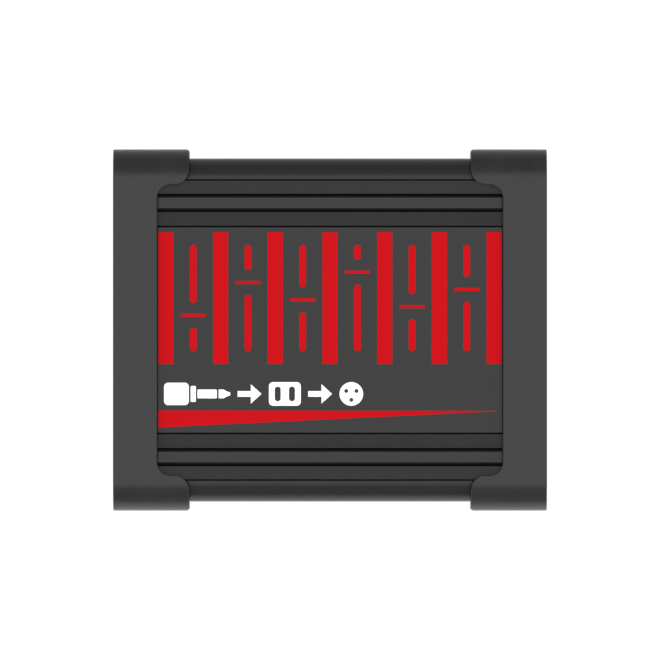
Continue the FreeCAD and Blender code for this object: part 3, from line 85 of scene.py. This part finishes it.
def noise(tree, coordinates, size, stretch=(1, 1, 1), detail=3.0, roughness=0.5):
    """A noise texture whose features are about size across, pulled out along an axis by stretch."""
    spread = tree.nodes.new("ShaderNodeMapping")
    spread.inputs["Scale"].default_value = [1 / s for s in stretch]
    texture = tree.nodes.new("ShaderNodeTexNoise")
    texture.inputs["Scale"].default_value = 1 / size
    texture.inputs["Detail"].default_value = detail
    texture.inputs["Roughness"].default_value = roughness
    link(tree, coordinates, "Object", spread, "Vector")
    link(tree, spread, "Vector", texture, "Vector")
    return texture


def ramp(tree, source, socket, stops):
    """A colour ramp; stops are (position, colour)."""
    node = tree.nodes.new("ShaderNodeValToRGB")
    band = node.color_ramp
    while len(band.elements) < len(stops):
        band.elements.new(0.5)
    for element, (position, colour) in zip(band.elements, stops):
        element.position = position
        element.color = (*colour, 1)
    link(tree, source, socket, node, "Fac")
    return node


def map_range(tree, source, socket, start, end, low, high):
    """Turns start..end on source's socket into low..high, held beyond both."""
    node = tree.nodes.new("ShaderNodeMapRange")
    for name, value in (("From Min", start), ("From Max", end), ("To Min", low), ("To Max", high)):
        node.inputs[name].default_value = value
    link(tree, source, socket, node, "Value")
    return node


def shade(colour, factor):
    return tuple(min(1.0, c * factor) for c in colour)


def finish_material(
    name,
    colour,
    roughness,
    specular=0.5,
    metallic=0.0,
    mottle=0.12,
    patch=4 * MM,
    grain=0.25 * MM,
    relief=0.01 * MM,
    stretch=(1, 1, 1),
    gloss_spread=0.08,
    coat=0.0,
    painted_shade_reach=0.0,
):
    """A Principled surface whose colour and gloss wander in patches, over a fine grain.

    mottle is how far the colour wanders, patch how wide the patches are, grain how wide
    and relief how deep the bumps are, and stretch pulls both out along an axis. The last
    argument is how far painted shade reaches out of a joint or inner corner, where the
    surface is also made matt.
    """
    material = bpy.data.materials.new(name)
    material.use_nodes = True
    tree = material.node_tree
    shader = tree.nodes["Principled BSDF"]
    shader.inputs["Metallic"].default_value = metallic
    shader.inputs["Specular IOR Level"].default_value = specular
    shader.inputs["Coat Weight"].default_value = coat
    shader.inputs["Coat Roughness"].default_value = 0.12
    coordinates = tree.nodes.new("ShaderNodeTexCoord")

    patches = noise(tree, coordinates, patch, stretch)
    start, end = 0.3, 0.7
    shades = [(start, shade(colour, 1 - mottle)), (end, shade(colour, 1 + mottle))]
    tone = ramp(tree, patches, "Fac", shades)
    low, high = max(0.02, roughness - gloss_spread / 2), min(1.0, roughness + gloss_spread / 2)
    gloss = map_range(tree, patches, "Fac", start, end, low, high)
    # Painted shade: an ambient occlusion node darkens the colour in inner corners and joints, where
    # shade falls, and makes them matt.
    if painted_shade_reach:
        shut, clear = 0.5, 0.8
        openness = tree.nodes.new("ShaderNodeAmbientOcclusion")
        openness.samples = 8
        openness.inputs["Distance"].default_value = painted_shade_reach
        painted_shade_factor = map_range(tree, openness, "AO", shut, clear, 0.3, 1.0)
        painted_shade_colour = tree.nodes.new("ShaderNodeVectorMath")
        painted_shade_colour.operation = "SCALE"
        link(tree, tone, "Color", painted_shade_colour, 0)
        link(tree, painted_shade_factor, "Result", painted_shade_colour, "Scale")
        link(tree, painted_shade_colour, "Vector", shader, "Base Color")
        matt = map_range(tree, openness, "AO", shut, clear, 0.85, 0.0)
        dull = tree.nodes.new("ShaderNodeMath")
        dull.operation = "MAXIMUM"
        link(tree, gloss, "Result", dull, 0)
        link(tree, matt, "Result", dull, 1)
        link(tree, dull, "Value", shader, "Roughness")
    else:
        link(tree, tone, "Color", shader, "Base Color")
        link(tree, gloss, "Result", shader, "Roughness")

    pores = noise(tree, coordinates, grain, stretch, detail=2.0)
    bump = tree.nodes.new("ShaderNodeBump")
    bump.inputs["Strength"].default_value = 1.0
    bump.inputs["Distance"].default_value = relief
    link(tree, pores, "Fac", bump, "Height")
    link(tree, bump, "Normal", shader, "Normal")
    return material


def banded_material(name, axis, bands, roughness, specular=0.5, metallic=0.0):
    """A printed surface with colour bands along one axis; bands are (start in metres, colour)."""
    material = finish_material(name, bands[0][1], roughness, specular, metallic)
    tree = material.node_tree
    shader = tree.nodes["Principled BSDF"]
    low, high = bands[0][0], bands[-1][0]
    coordinates = tree.nodes.new("ShaderNodeTexCoord")
    split = tree.nodes.new("ShaderNodeSeparateXYZ")
    link(tree, coordinates, "Object", split, "Vector")
    place = map_range(tree, split, axis, low, high, 0, 1)
    stops = [((start - low) / (high - low), colour) for start, colour in bands]
    tone = ramp(tree, place, "Result", stops)
    tone.color_ramp.interpolation = "CONSTANT"
    link(tree, tone, "Color", shader, "Base Color")
    return material


def laminated_material(name, colour, sheet):
    """Stacked steel sheets: fine dark lines across Y."""
    material = finish_material(name, colour, 0.5, 0.5, 0.6)
    tree = material.node_tree
    shader = tree.nodes["Principled BSDF"]
    coordinates = tree.nodes.new("ShaderNodeTexCoord")
    wave = tree.nodes.new("ShaderNodeTexWave")
    wave.bands_direction = "Y"
    scale_for_one_metre = 0.314
    wave.inputs["Scale"].default_value = scale_for_one_metre / sheet
    wave.inputs["Distortion"].default_value = 0.3
    link(tree, coordinates, "Object", wave, "Vector")
    tone = ramp(tree, wave, "Fac", [(0.1, shade(colour, 0.35)), (0.5, colour)])
    link(tree, tone, "Color", shader, "Base Color")
    return material


GREY_BODY = (0.019, 0.019, 0.0192)
GREY_RUBBER = (0.0236, 0.0236, 0.0239)

# anodised_black and label_film paint shade into their inner corners, out to 0.9 mm.
FINISHES = {
    "anodised_black": dict(
        colour=GREY_BODY, roughness=0.30, specular=0.104, mottle=0.05, patch=3 * MM,
        grain=0.22 * MM, relief=0.004 * MM, stretch=(18, 1, 1), gloss_spread=0.05, painted_shade_reach=0.9 * MM,
    ),
    "label_film": dict(
        colour=(0.0195, 0.0195, 0.0197), roughness=0.34, specular=0.104, mottle=0.04,
        patch=6 * MM, grain=0.3 * MM, relief=0.004 * MM, gloss_spread=0.05, painted_shade_reach=0.9 * MM,
    ),
    "bumper_rubber": dict(
        colour=GREY_RUBBER, roughness=0.32, specular=0.112, mottle=0.06, patch=5 * MM,
        grain=0.32 * MM, relief=0.012 * MM, gloss_spread=0.09,
    ),
    "panel_paint": dict(
        colour=(0.022, 0.022, 0.023), roughness=0.42, specular=0.4, mottle=0.12,
        grain=0.35 * MM, relief=0.02 * MM,
    ),
    "black_screw": dict(
        colour=(0.03, 0.03, 0.033), roughness=0.35, specular=0.5, metallic=0.6,
        mottle=0.2, patch=0.8 * MM, grain=0.12 * MM, relief=0.006 * MM,
    ),
    "board_green": dict(
        colour=(0.01, 0.09, 0.035), roughness=0.3, mottle=0.3, patch=1.6 * MM,
        grain=0.5 * MM, relief=0.02 * MM,
    ),
    "shield_can": dict(
        colour=(0.55, 0.54, 0.51), roughness=0.32, metallic=1.0, mottle=0.08,
        stretch=(1, 1, 12), relief=0.004 * MM,
    ),
    "bobbin_plastic": dict(colour=(0.72, 0.68, 0.56), roughness=0.45, mottle=0.06),
    "winding_copper": dict(
        colour=(0.62, 0.27, 0.09), roughness=0.3, metallic=0.7, mottle=0.25,
        patch=0.5 * MM, grain=0.3 * MM, relief=0.06 * MM, stretch=(6, 6, 1),
    ),
    "chip_black": dict(colour=(0.015, 0.015, 0.016), roughness=0.6, mottle=0.2),
    "capacitor_sleeve": dict(colour=(0.015, 0.03, 0.12), roughness=0.28, mottle=0.08),
    "film_box": dict(colour=(0.55, 0.06, 0.02), roughness=0.3, mottle=0.08),
    "connector_black": dict(
        colour=(0.018, 0.018, 0.019), roughness=0.38, specular=0.45, mottle=0.15,
        patch=2 * MM, grain=0.25 * MM, relief=0.012 * MM,
    ),
    "insert_black": dict(
        colour=(0.012, 0.012, 0.013), roughness=0.5, mottle=0.15, relief=0.012 * MM,
    ),
    "gold_contact": dict(
        colour=(0.83, 0.58, 0.2), roughness=0.2, metallic=1.0, mottle=0.08,
        patch=1 * MM, relief=0.002 * MM,
    ),
    "bright_steel": dict(
        colour=(0.4, 0.4, 0.41), roughness=0.3, metallic=1.0, mottle=0.1,
        patch=1 * MM, relief=0.004 * MM,
    ),
    "nickel": dict(
        colour=(0.46, 0.45, 0.42), roughness=0.2, metallic=1.0, mottle=0.05,
        patch=1.5 * MM, relief=0.002 * MM, gloss_spread=0.06,
    ),
    "jack_plastic": dict(colour=(0.015, 0.015, 0.016), roughness=0.45, mottle=0.15),
    "switch_plastic": dict(colour=(0.5, 0.5, 0.47), roughness=0.4, mottle=0.06),
    "pad_cap": dict(colour=(0.44, 0.44, 0.425), roughness=0.38, mottle=0.05),
    "lift_cap": dict(colour=(0.4, 0.009, 0.011), roughness=0.38, mottle=0.06),
    "slider_white": dict(colour=(0.48, 0.48, 0.46), roughness=0.4, mottle=0.05),
    "lamp_red": dict(
        colour=(0.55, 0.008, 0.01), roughness=0.12, mottle=0.05, coat=0.5, relief=0.001 * MM
    ),
    "lead_white": dict(colour=(0.65, 0.65, 0.62), roughness=0.4, mottle=0.06),
    "lead_red": dict(colour=(0.5, 0.015, 0.015), roughness=0.4, mottle=0.06),
    "lead_black": dict(colour=(0.012, 0.012, 0.012), roughness=0.4, mottle=0.1),
    "drawer_plastic": dict(
        colour=(0.02, 0.02, 0.021), roughness=0.48, specular=0.45, mottle=0.12,
        patch=1.5 * MM, grain=0.45 * MM, relief=0.035 * MM,
    ),
    "ink_red": dict(
        colour=(0.488, 0.0040, 0.0078), roughness=0.45, specular=0.015, mottle=0.025,
        patch=3 * MM, grain=0.2 * MM, relief=0.002 * MM,
    ),
    "ink_white": dict(
        colour=(0.93, 0.93, 0.92), roughness=0.5, specular=0.2, mottle=0.01,
        patch=3 * MM, grain=0.2 * MM, relief=0.002 * MM,
    ),
}


def make_materials():
    """Every finish by its slot's name, the special ones included."""
    made = {slot: finish_material(slot, **look) for slot, look in FINISHES.items()}
    low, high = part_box("battery")
    black, copper, black_share = (0.02, 0.02, 0.022), (0.6, 0.33, 0.12), 0.72
    step = (high.x - low.x) * black_share + low.x
    bands = [(low.x - MM, black), (step, copper), (high.x + MM, copper)]
    made["battery_jacket"] = banded_material("battery_jacket", "X", bands, 0.3, metallic=0.3)
    made["core_iron"] = laminated_material("core_iron", (0.3, 0.3, 0.31), 0.5 * MM)
    made["resistor_blue"] = finish_material(
        "resistor_blue", (0.2, 0.42, 0.55), 0.3, mottle=0.25, patch=0.9 * MM, stretch=(4, 1, 4)
    )
    return made


def dress_nodes(made):
    """Gives each CAD node the finish of its own material slot."""
    for part in frame["record"]["subparts"]:
        shown = nodes[part["node"]]
        shown.data.materials.clear()
        shown.data.materials.append(made[part["material_slot"]])


def working_springs():
    """Stand-ins for the buttons' springs: a copy of each spring's mesh, fixed to the box, with the
    CAD spring hidden. The real springs shorten as the buttons go in; these copies don't.
    """
    for joint in frame["record"]["behaviour"]["joints"]:
        for spring in joint.get("deforming_nodes", []):
            node = spring["node"]
            piece = bpy.data.objects.new(node + "_coil", nodes[node].data.copy())
            bpy.context.scene.collection.objects.link(piece)
            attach(piece, "box")
            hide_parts(node)
            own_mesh(piece)


# ---------------------------------------------------------------- outlines, in millimetres
def arc(x, y, radius, start, end, steps=10):
    """Points on an arc, angles in degrees."""
    turns = [math.radians(start + (end - start) * i / steps) for i in range(steps + 1)]
    return [(x + radius * math.cos(t), y + radius * math.sin(t)) for t in turns]


def disc(x, y, radius, steps=48):
    return arc(x, y, radius, 0, 360 * (1 - 1 / steps), steps - 1)


def ring(x, y, outer, width):
    return [disc(x, y, outer), disc(x, y, outer - width)]


def plate(x, y, width, height, corner):
    """A rectangle with round corners, by its middle."""
    w, h = width / 2 - corner, height / 2 - corner
    places = ((w, h, 0), (-w, h, 90), (-w, -h, 180), (w, -h, 270))
    loop = []
    for dx, dy, start in places:
        loop += arc(x + dx, y + dy, corner, start, start + 90, 8)
    return loop


def frame_of(x, y, width, height, corner, stroke):
    inner = max(0.05, corner - stroke)
    return [
        plate(x, y, width, height, corner),
        plate(x, y, width - 2 * stroke, height - 2 * stroke, inner),
    ]


def open_ring(x, y, outer, width, start, end):
    """A ring with a gap, from start to end degrees."""
    return [arc(x, y, outer, start, end, 40) + arc(x, y, outer - width, end, start, 40)]


def arrow(x, y, length, height, stroke):
    """An arrow to the right, by its middle."""
    left, right = x - length / 2, x + length / 2
    neck = right - height * 0.55
    s, h = stroke / 2, height / 2
    lower = [(left, y - s), (neck, y - s), (neck, y - h)]
    upper = [(neck, y + h), (neck, y + s), (left, y + s)]
    return [lower + [(right, y)] + upper]


def turned(loops, degrees, x, y):
    """Loops turned about a point."""
    c, s = math.cos(math.radians(degrees)), math.sin(math.radians(degrees))
    return [
        [(x + (px - x) * c - (py - y) * s, y + (px - x) * s + (py - y) * c) for px, py in loop]
        for loop in loops
    ]


# ---------------------------------------------------------------- printed pieces
def print_piece(name, loops, origin, right, up, thickness, material):
    """Ink of real thickness: closed islands from loops, where a loop inside a loop is a hole."""
    curve = bpy.data.curves.new(name + "_outline", "CURVE")
    curve.dimensions = "2D"
    curve.fill_mode = "BOTH"
    curve.extrude = thickness / MM / 2
    for loop in loops:
        spline = curve.splines.new("POLY")
        spline.points.add(len(loop) - 1)
        for point, (x, y) in zip(spline.points, loop):
            point.co = (x, y, 0, 1)
        spline.use_cyclic_u = True
    outline = bpy.data.objects.new(name + "_outline", curve)
    bpy.context.scene.collection.objects.link(outline)
    bpy.context.view_layer.update()
    filled = outline.evaluated_get(bpy.context.evaluated_depsgraph_get())
    mesh = bpy.data.meshes.new_from_object(filled)
    bpy.data.objects.remove(outline)
    bpy.data.curves.remove(curve)

    out = right.cross(up)
    lift = origin + out * (thickness / 2)
    to_frame = Matrix.Identity(4)
    for column, vector in enumerate((right * MM, up * MM, out * MM, lift)):
        for row in range(3):
            to_frame[row][column] = vector[row]
    mesh.transform(to_frame)
    shell = bmesh.new()
    shell.from_mesh(mesh)
    bmesh.ops.remove_doubles(shell, verts=shell.verts, dist=thickness / 20)
    bmesh.ops.recalc_face_normals(shell, faces=shell.faces)
    shell.to_mesh(mesh)
    shell.free()
    mesh.name = name
    mesh.materials.clear()
    mesh.materials.append(material)
    piece = bpy.data.objects.new(name, mesh)
    bpy.context.scene.collection.objects.link(piece)
    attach(piece, "box")
    return piece


INK = 0.04 * MM

# The label's layout in millimetres, down from its far edge, the one at +Y.
BAND_TOP, BAND_FOOT = 1.55, 47.9
ROW_MIDDLE, ROW_HEIGHT, ROW_INSET = 58.4, 8.3, 2.0
STRIPE_TOP, STRIPE_FOOT, STRIPE_INSET = 64.2, 70.2, 1.6
STRIPE_POINT_TOP, STRIPE_POINT_FOOT = 64.35, 64.5
LABEL_MARGIN = 0.25

SLIDER_SETTINGS = (0.30, 0.68, 0.48, 0.80, 0.40, 0.60)


def slider_band(width, low, high):
    """The red field, broken up by a dark block for each of six mixer sliders."""
    count, block, slot_width = len(SLIDER_SETTINGS), 13.9, 2.4
    height = high - low
    gap = (width - count * block) / (count + 1)
    left = -width / 2
    loops = []
    for i in range(count + 1):
        x = left + i * (block + gap)
        loops.append(plate(x + gap / 2, (low + high) / 2, gap, height, 0.02))
    travel = height - 9
    knob, clearance, slot_corner = 7.0, 0.9, slot_width / 2 - 0.05
    foot = low + (height - travel) / 2
    for i, setting in enumerate(SLIDER_SETTINGS):
        x = left + gap + i * (block + gap) + block / 2
        centre = foot + knob / 2 + setting * (travel - knob)
        below = centre - knob / 2 - clearance - foot
        above = foot + travel - centre - knob / 2 - clearance
        loops.append(plate(x, foot + below / 2, slot_width, below, slot_corner))
        loops.append(plate(x, foot + travel - above / 2, slot_width, above, slot_corner))
        loops.append(plate(x, centre, 9.0, 1.1, 0.5))
    return loops


def plug_icon(x, y, size):
    """A quarter-inch plug pointing right, and its length. It is drawn eight units high."""
    s = size / 8
    body = plate(x + 4.2 * s, y, 8.4 * s, 7.6 * s, 1.4 * s)
    collar = plate(x + 9.9 * s, y, 1.8 * s, 5.4 * s, 0.4 * s)
    sleeve = plate(x + 14.6 * s, y, 6.6 * s, 3.0 * s, 0.3 * s)
    length = 22.4
    upper = [(18.5, 1.5), (20.2, 1.5), (21.2, 0.9), (length, 0.5)]
    lower = [(px, -py) for px, py in reversed(upper)]
    tip = [(x + px * s, y + py * s) for px, py in upper + lower]
    return [body, collar, sleeve, tip], length * s


def pin_icon(x, y, size):
    """A round three-pin connector, seen from its face."""
    r = size / 2
    loops = [disc(x, y, r)]
    for turn in (150, 30, 270):
        a = math.radians(turn)
        loops.append(disc(x + r * 0.5 * math.cos(a), y + r * 0.5 * math.sin(a), r * 0.17, 24))
    return loops


def signal_row(left, y, size):
    """Plug, arrow, box with two windings, arrow, three-pin connector."""
    gap, arrow_length, box_width = 2.6, 8.4, 11.2
    loops, length = plug_icon(left, y, size)
    x = left + length + gap
    loops += arrow(x + arrow_length / 2, y, arrow_length, size * 0.82, 2.0)
    x += arrow_length + gap
    middle_x = x + box_width / 2
    loops.append(plate(middle_x, y, box_width, size, 1.4))
    for offset in (-2.5, 2.5):
        loops.append(plate(middle_x + offset, y, 2.1, size * 0.62, 1.0))
    x += box_width + gap
    loops += arrow(x + arrow_length / 2, y, arrow_length, size * 0.82, 2.0)
    x += arrow_length + gap
    loops += pin_icon(x + size / 2, y, size)
    return loops


def label_print(made):
    """The label's red field, white row and red wedge."""
    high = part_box("top_label")[1]
    half_length = high.x / MM - LABEL_MARGIN
    top = Vector((0, 0, high.z))
    right, up = Vector((1, 0, 0)), Vector((0, 1, 0))
    edge = high.y / MM
    band = slider_band(2 * half_length, edge - BAND_FOOT, edge - BAND_TOP)
    print_piece("label_band", band, top, right, up, INK, made["ink_red"])
    stripe = [
        (-half_length, edge - STRIPE_TOP),
        (half_length - STRIPE_INSET, edge - STRIPE_POINT_TOP),
        (half_length - STRIPE_INSET, edge - STRIPE_POINT_FOOT),
        (-half_length, edge - STRIPE_FOOT),
    ]
    print_piece("label_stripe", [stripe], top, right, up, INK, made["ink_red"])
    row = signal_row(-half_length + ROW_INSET, edge - ROW_MIDDLE, ROW_HEIGHT)
    print_piece("label_signal_row", row, top, right, up, INK, made["ink_white"])


# ---------------------------------------------------------------- panel prints
def earth_icon(x, y):
    """An upright over three bars that get shorter."""
    loops = [plate(x, y + 1.2, 0.45, 1.8, 0.05)]
    for i, width in enumerate((3.2, 2.1, 1.0)):
        loops.append(plate(x, y + 0.05 - i * 0.75, width, 0.4, 0.1))
    return loops


def power_icon(x, y):
    return open_ring(x, y, 1.7, 0.45, 120, 420) + [plate(x, y + 1.15, 0.45, 1.9, 0.1)]


def battery_icon(x, y):
    return frame_of(x, y, 4.6, 2.6, 0.4, 0.4) + [
        plate(x + 2.75, y, 0.5, 1.2, 0.1),
        plate(x - 0.95, y, 1.3, 1.2, 0.1),
        plate(x + 0.95, y, 1.3, 1.2, 0.1),
    ]


def pad_icon(x, y, steps):
    """Falling bars: how much a pad takes off."""
    return [
        plate(x + (i - (steps - 1) / 2) * 1.0, y - i * 0.35, 0.6, 3.0 - i * 0.7, 0.1)
        for i in range(steps)
    ]


def lamp_icon(x, y):
    rays = []
    for i in range(8):
        rays += turned([plate(x + 1.75, y, 0.7, 0.3, 0.05)], i * 45, x, y)
    return [disc(x, y, 0.9, 24)] + rays


def button_ring(x, y):
    return ring(x, y, 5.0, 0.35)


def panel_prints(made):
    """Generic white symbols beside the controls, as seen from outside each end."""
    ink, up = made["ink_white"], Vector((0, 0, 1))
    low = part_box("input_panel")[0]
    origin, right = Vector((low.x, 0, 0)), Vector((0, -1, 0))
    loops = []
    for node, turn in (("jack_input_bushing", 90), ("jack_link_bushing", -90)):
        place = middle(node) / MM
        x, y = -place.y, place.z + 10.6
        loops += turned(arrow(x, y, 5.4, 2.8, 0.7), turn, x, y)
    for node, steps in (("pad_a_button", 3), ("pad_b_button", 4)):
        place = middle(node) / MM
        loops += pad_icon(-place.y, place.z + 7.2, steps)
        loops += button_ring(-place.y, place.z)
    print_piece("input_panel_print", loops, origin, right, up, INK, ink)

    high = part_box("output_panel")[1]
    origin, right = Vector((high.x, 0, 0)), Vector((0, 1, 0))
    lift, lamp = middle("ground_lift_button") / MM, middle("led_bezel") / MM
    lever, drawer = middle("power_switch_frame") / MM, middle("battery_sleeve") / MM
    loops = earth_icon(lift.y, lift.z - 6.8) + button_ring(lift.y, lift.z)
    loops += lamp_icon(lamp.y, lamp.z + 5.4)
    beside_lever = lever.y + 5.6
    loops += power_icon(beside_lever, lever.z + 2.2)
    loops += [disc(beside_lever, lever.z - 2.6, 0.5, 24)]
    loops += battery_icon(drawer.y, drawer.z - 15.6)
    print_piece("output_panel_print", loops, origin, right, up, INK, ink)


# ---------------------------------------------------------------- stage
def floor():
    """A white floor that glows, so no shadow falls on it, and more so in front of the box."""
    mesh = bpy.data.meshes.new("floor")
    half, height = 9.0, -0.3 * MM
    corners = [(x * half, y * half, height) for x, y in ((-1, -1), (1, -1), (1, 1), (-1, 1))]
    mesh.from_pydata(corners, [], [(0, 1, 2, 3)])
    plane = bpy.data.objects.new("floor", mesh)
    bpy.context.scene.collection.objects.link(plane)
    material = bpy.data.materials.new("floor")
    material.use_nodes = True
    tree = material.node_tree
    shader = tree.nodes["Principled BSDF"]
    shader.inputs["Base Color"].default_value = (0.2, 0.2, 0.2, 1)
    shader.inputs["Roughness"].default_value = 0.9
    shader.inputs["Specular IOR Level"].default_value = 0.0
    shader.inputs["Emission Color"].default_value = (1, 1, 1, 1)
    coordinates = tree.nodes.new("ShaderNodeTexCoord")
    split = tree.nodes.new("ShaderNodeSeparateXYZ")
    link(tree, coordinates, "Object", split, "Vector")
    glow = map_range(tree, split, "Y", -0.17, -0.07, 2.6, 0.9)
    link(tree, glow, "Result", shader, "Emission Strength")
    mesh.materials.append(material)


def sky():
    """Soft light from all round, a little weaker at the back than in front."""
    world = bpy.data.worlds.new("studio")
    world.use_nodes = True
    tree = world.node_tree
    background = tree.nodes["Background"]
    direction = tree.nodes.new("ShaderNodeTexCoord")
    split = tree.nodes.new("ShaderNodeSeparateXYZ")
    link(tree, direction, "Generated", split, "Vector")
    greys = ((0.0, 0.55), (0.12, 0.5), (0.5, 0.5), (0.8, 0.75))
    tone = ramp(tree, split, "Z", [(height, (grey,) * 3) for height, grey in greys])
    link(tree, tone, "Color", background, "Color")
    strength = map_range(tree, split, "Y", -1, 1, 1.0, 0.8)
    link(tree, strength, "Result", background, "Strength")
    bpy.context.scene.world = world


def overhead_light():
    """One soft round panel above the box, which the camera doesn't see."""
    height, width, radiance = 1.5, 1.35, 4.2
    data = bpy.data.lights.new("overhead_panel", "AREA")
    data.shape = "DISK"
    data.size = width
    area = math.pi * width * width / 4
    data.energy = radiance * math.pi * area
    lamp = bpy.data.objects.new("overhead_panel", data)
    lamp.location = (0, 0, height)
    lamp.visible_camera = False
    bpy.context.scene.collection.objects.link(lamp)


def camera():
    """Straight above, through a long lens, with the box across two thirds of the frame."""
    data = bpy.data.cameras.new("camera")
    data.lens = 1500
    data.sensor_width = 36
    eye = bpy.data.objects.new("camera", data)
    share_of_frame = 0.657576
    span = (cad_high.x - cad_low.x) / share_of_frame
    eye.location = (0, 0, cad_high.z + span * data.lens / data.sensor_width)
    data.clip_end = 40
    bpy.context.scene.collection.objects.link(eye)
    bpy.context.scene.camera = eye


made = make_materials()
dress_nodes(made)
working_springs()
label_print(made)
panel_prints(made)
floor()
sky()
overhead_light()
camera()
bpy.context.scene.view_settings.view_transform = "Standard"
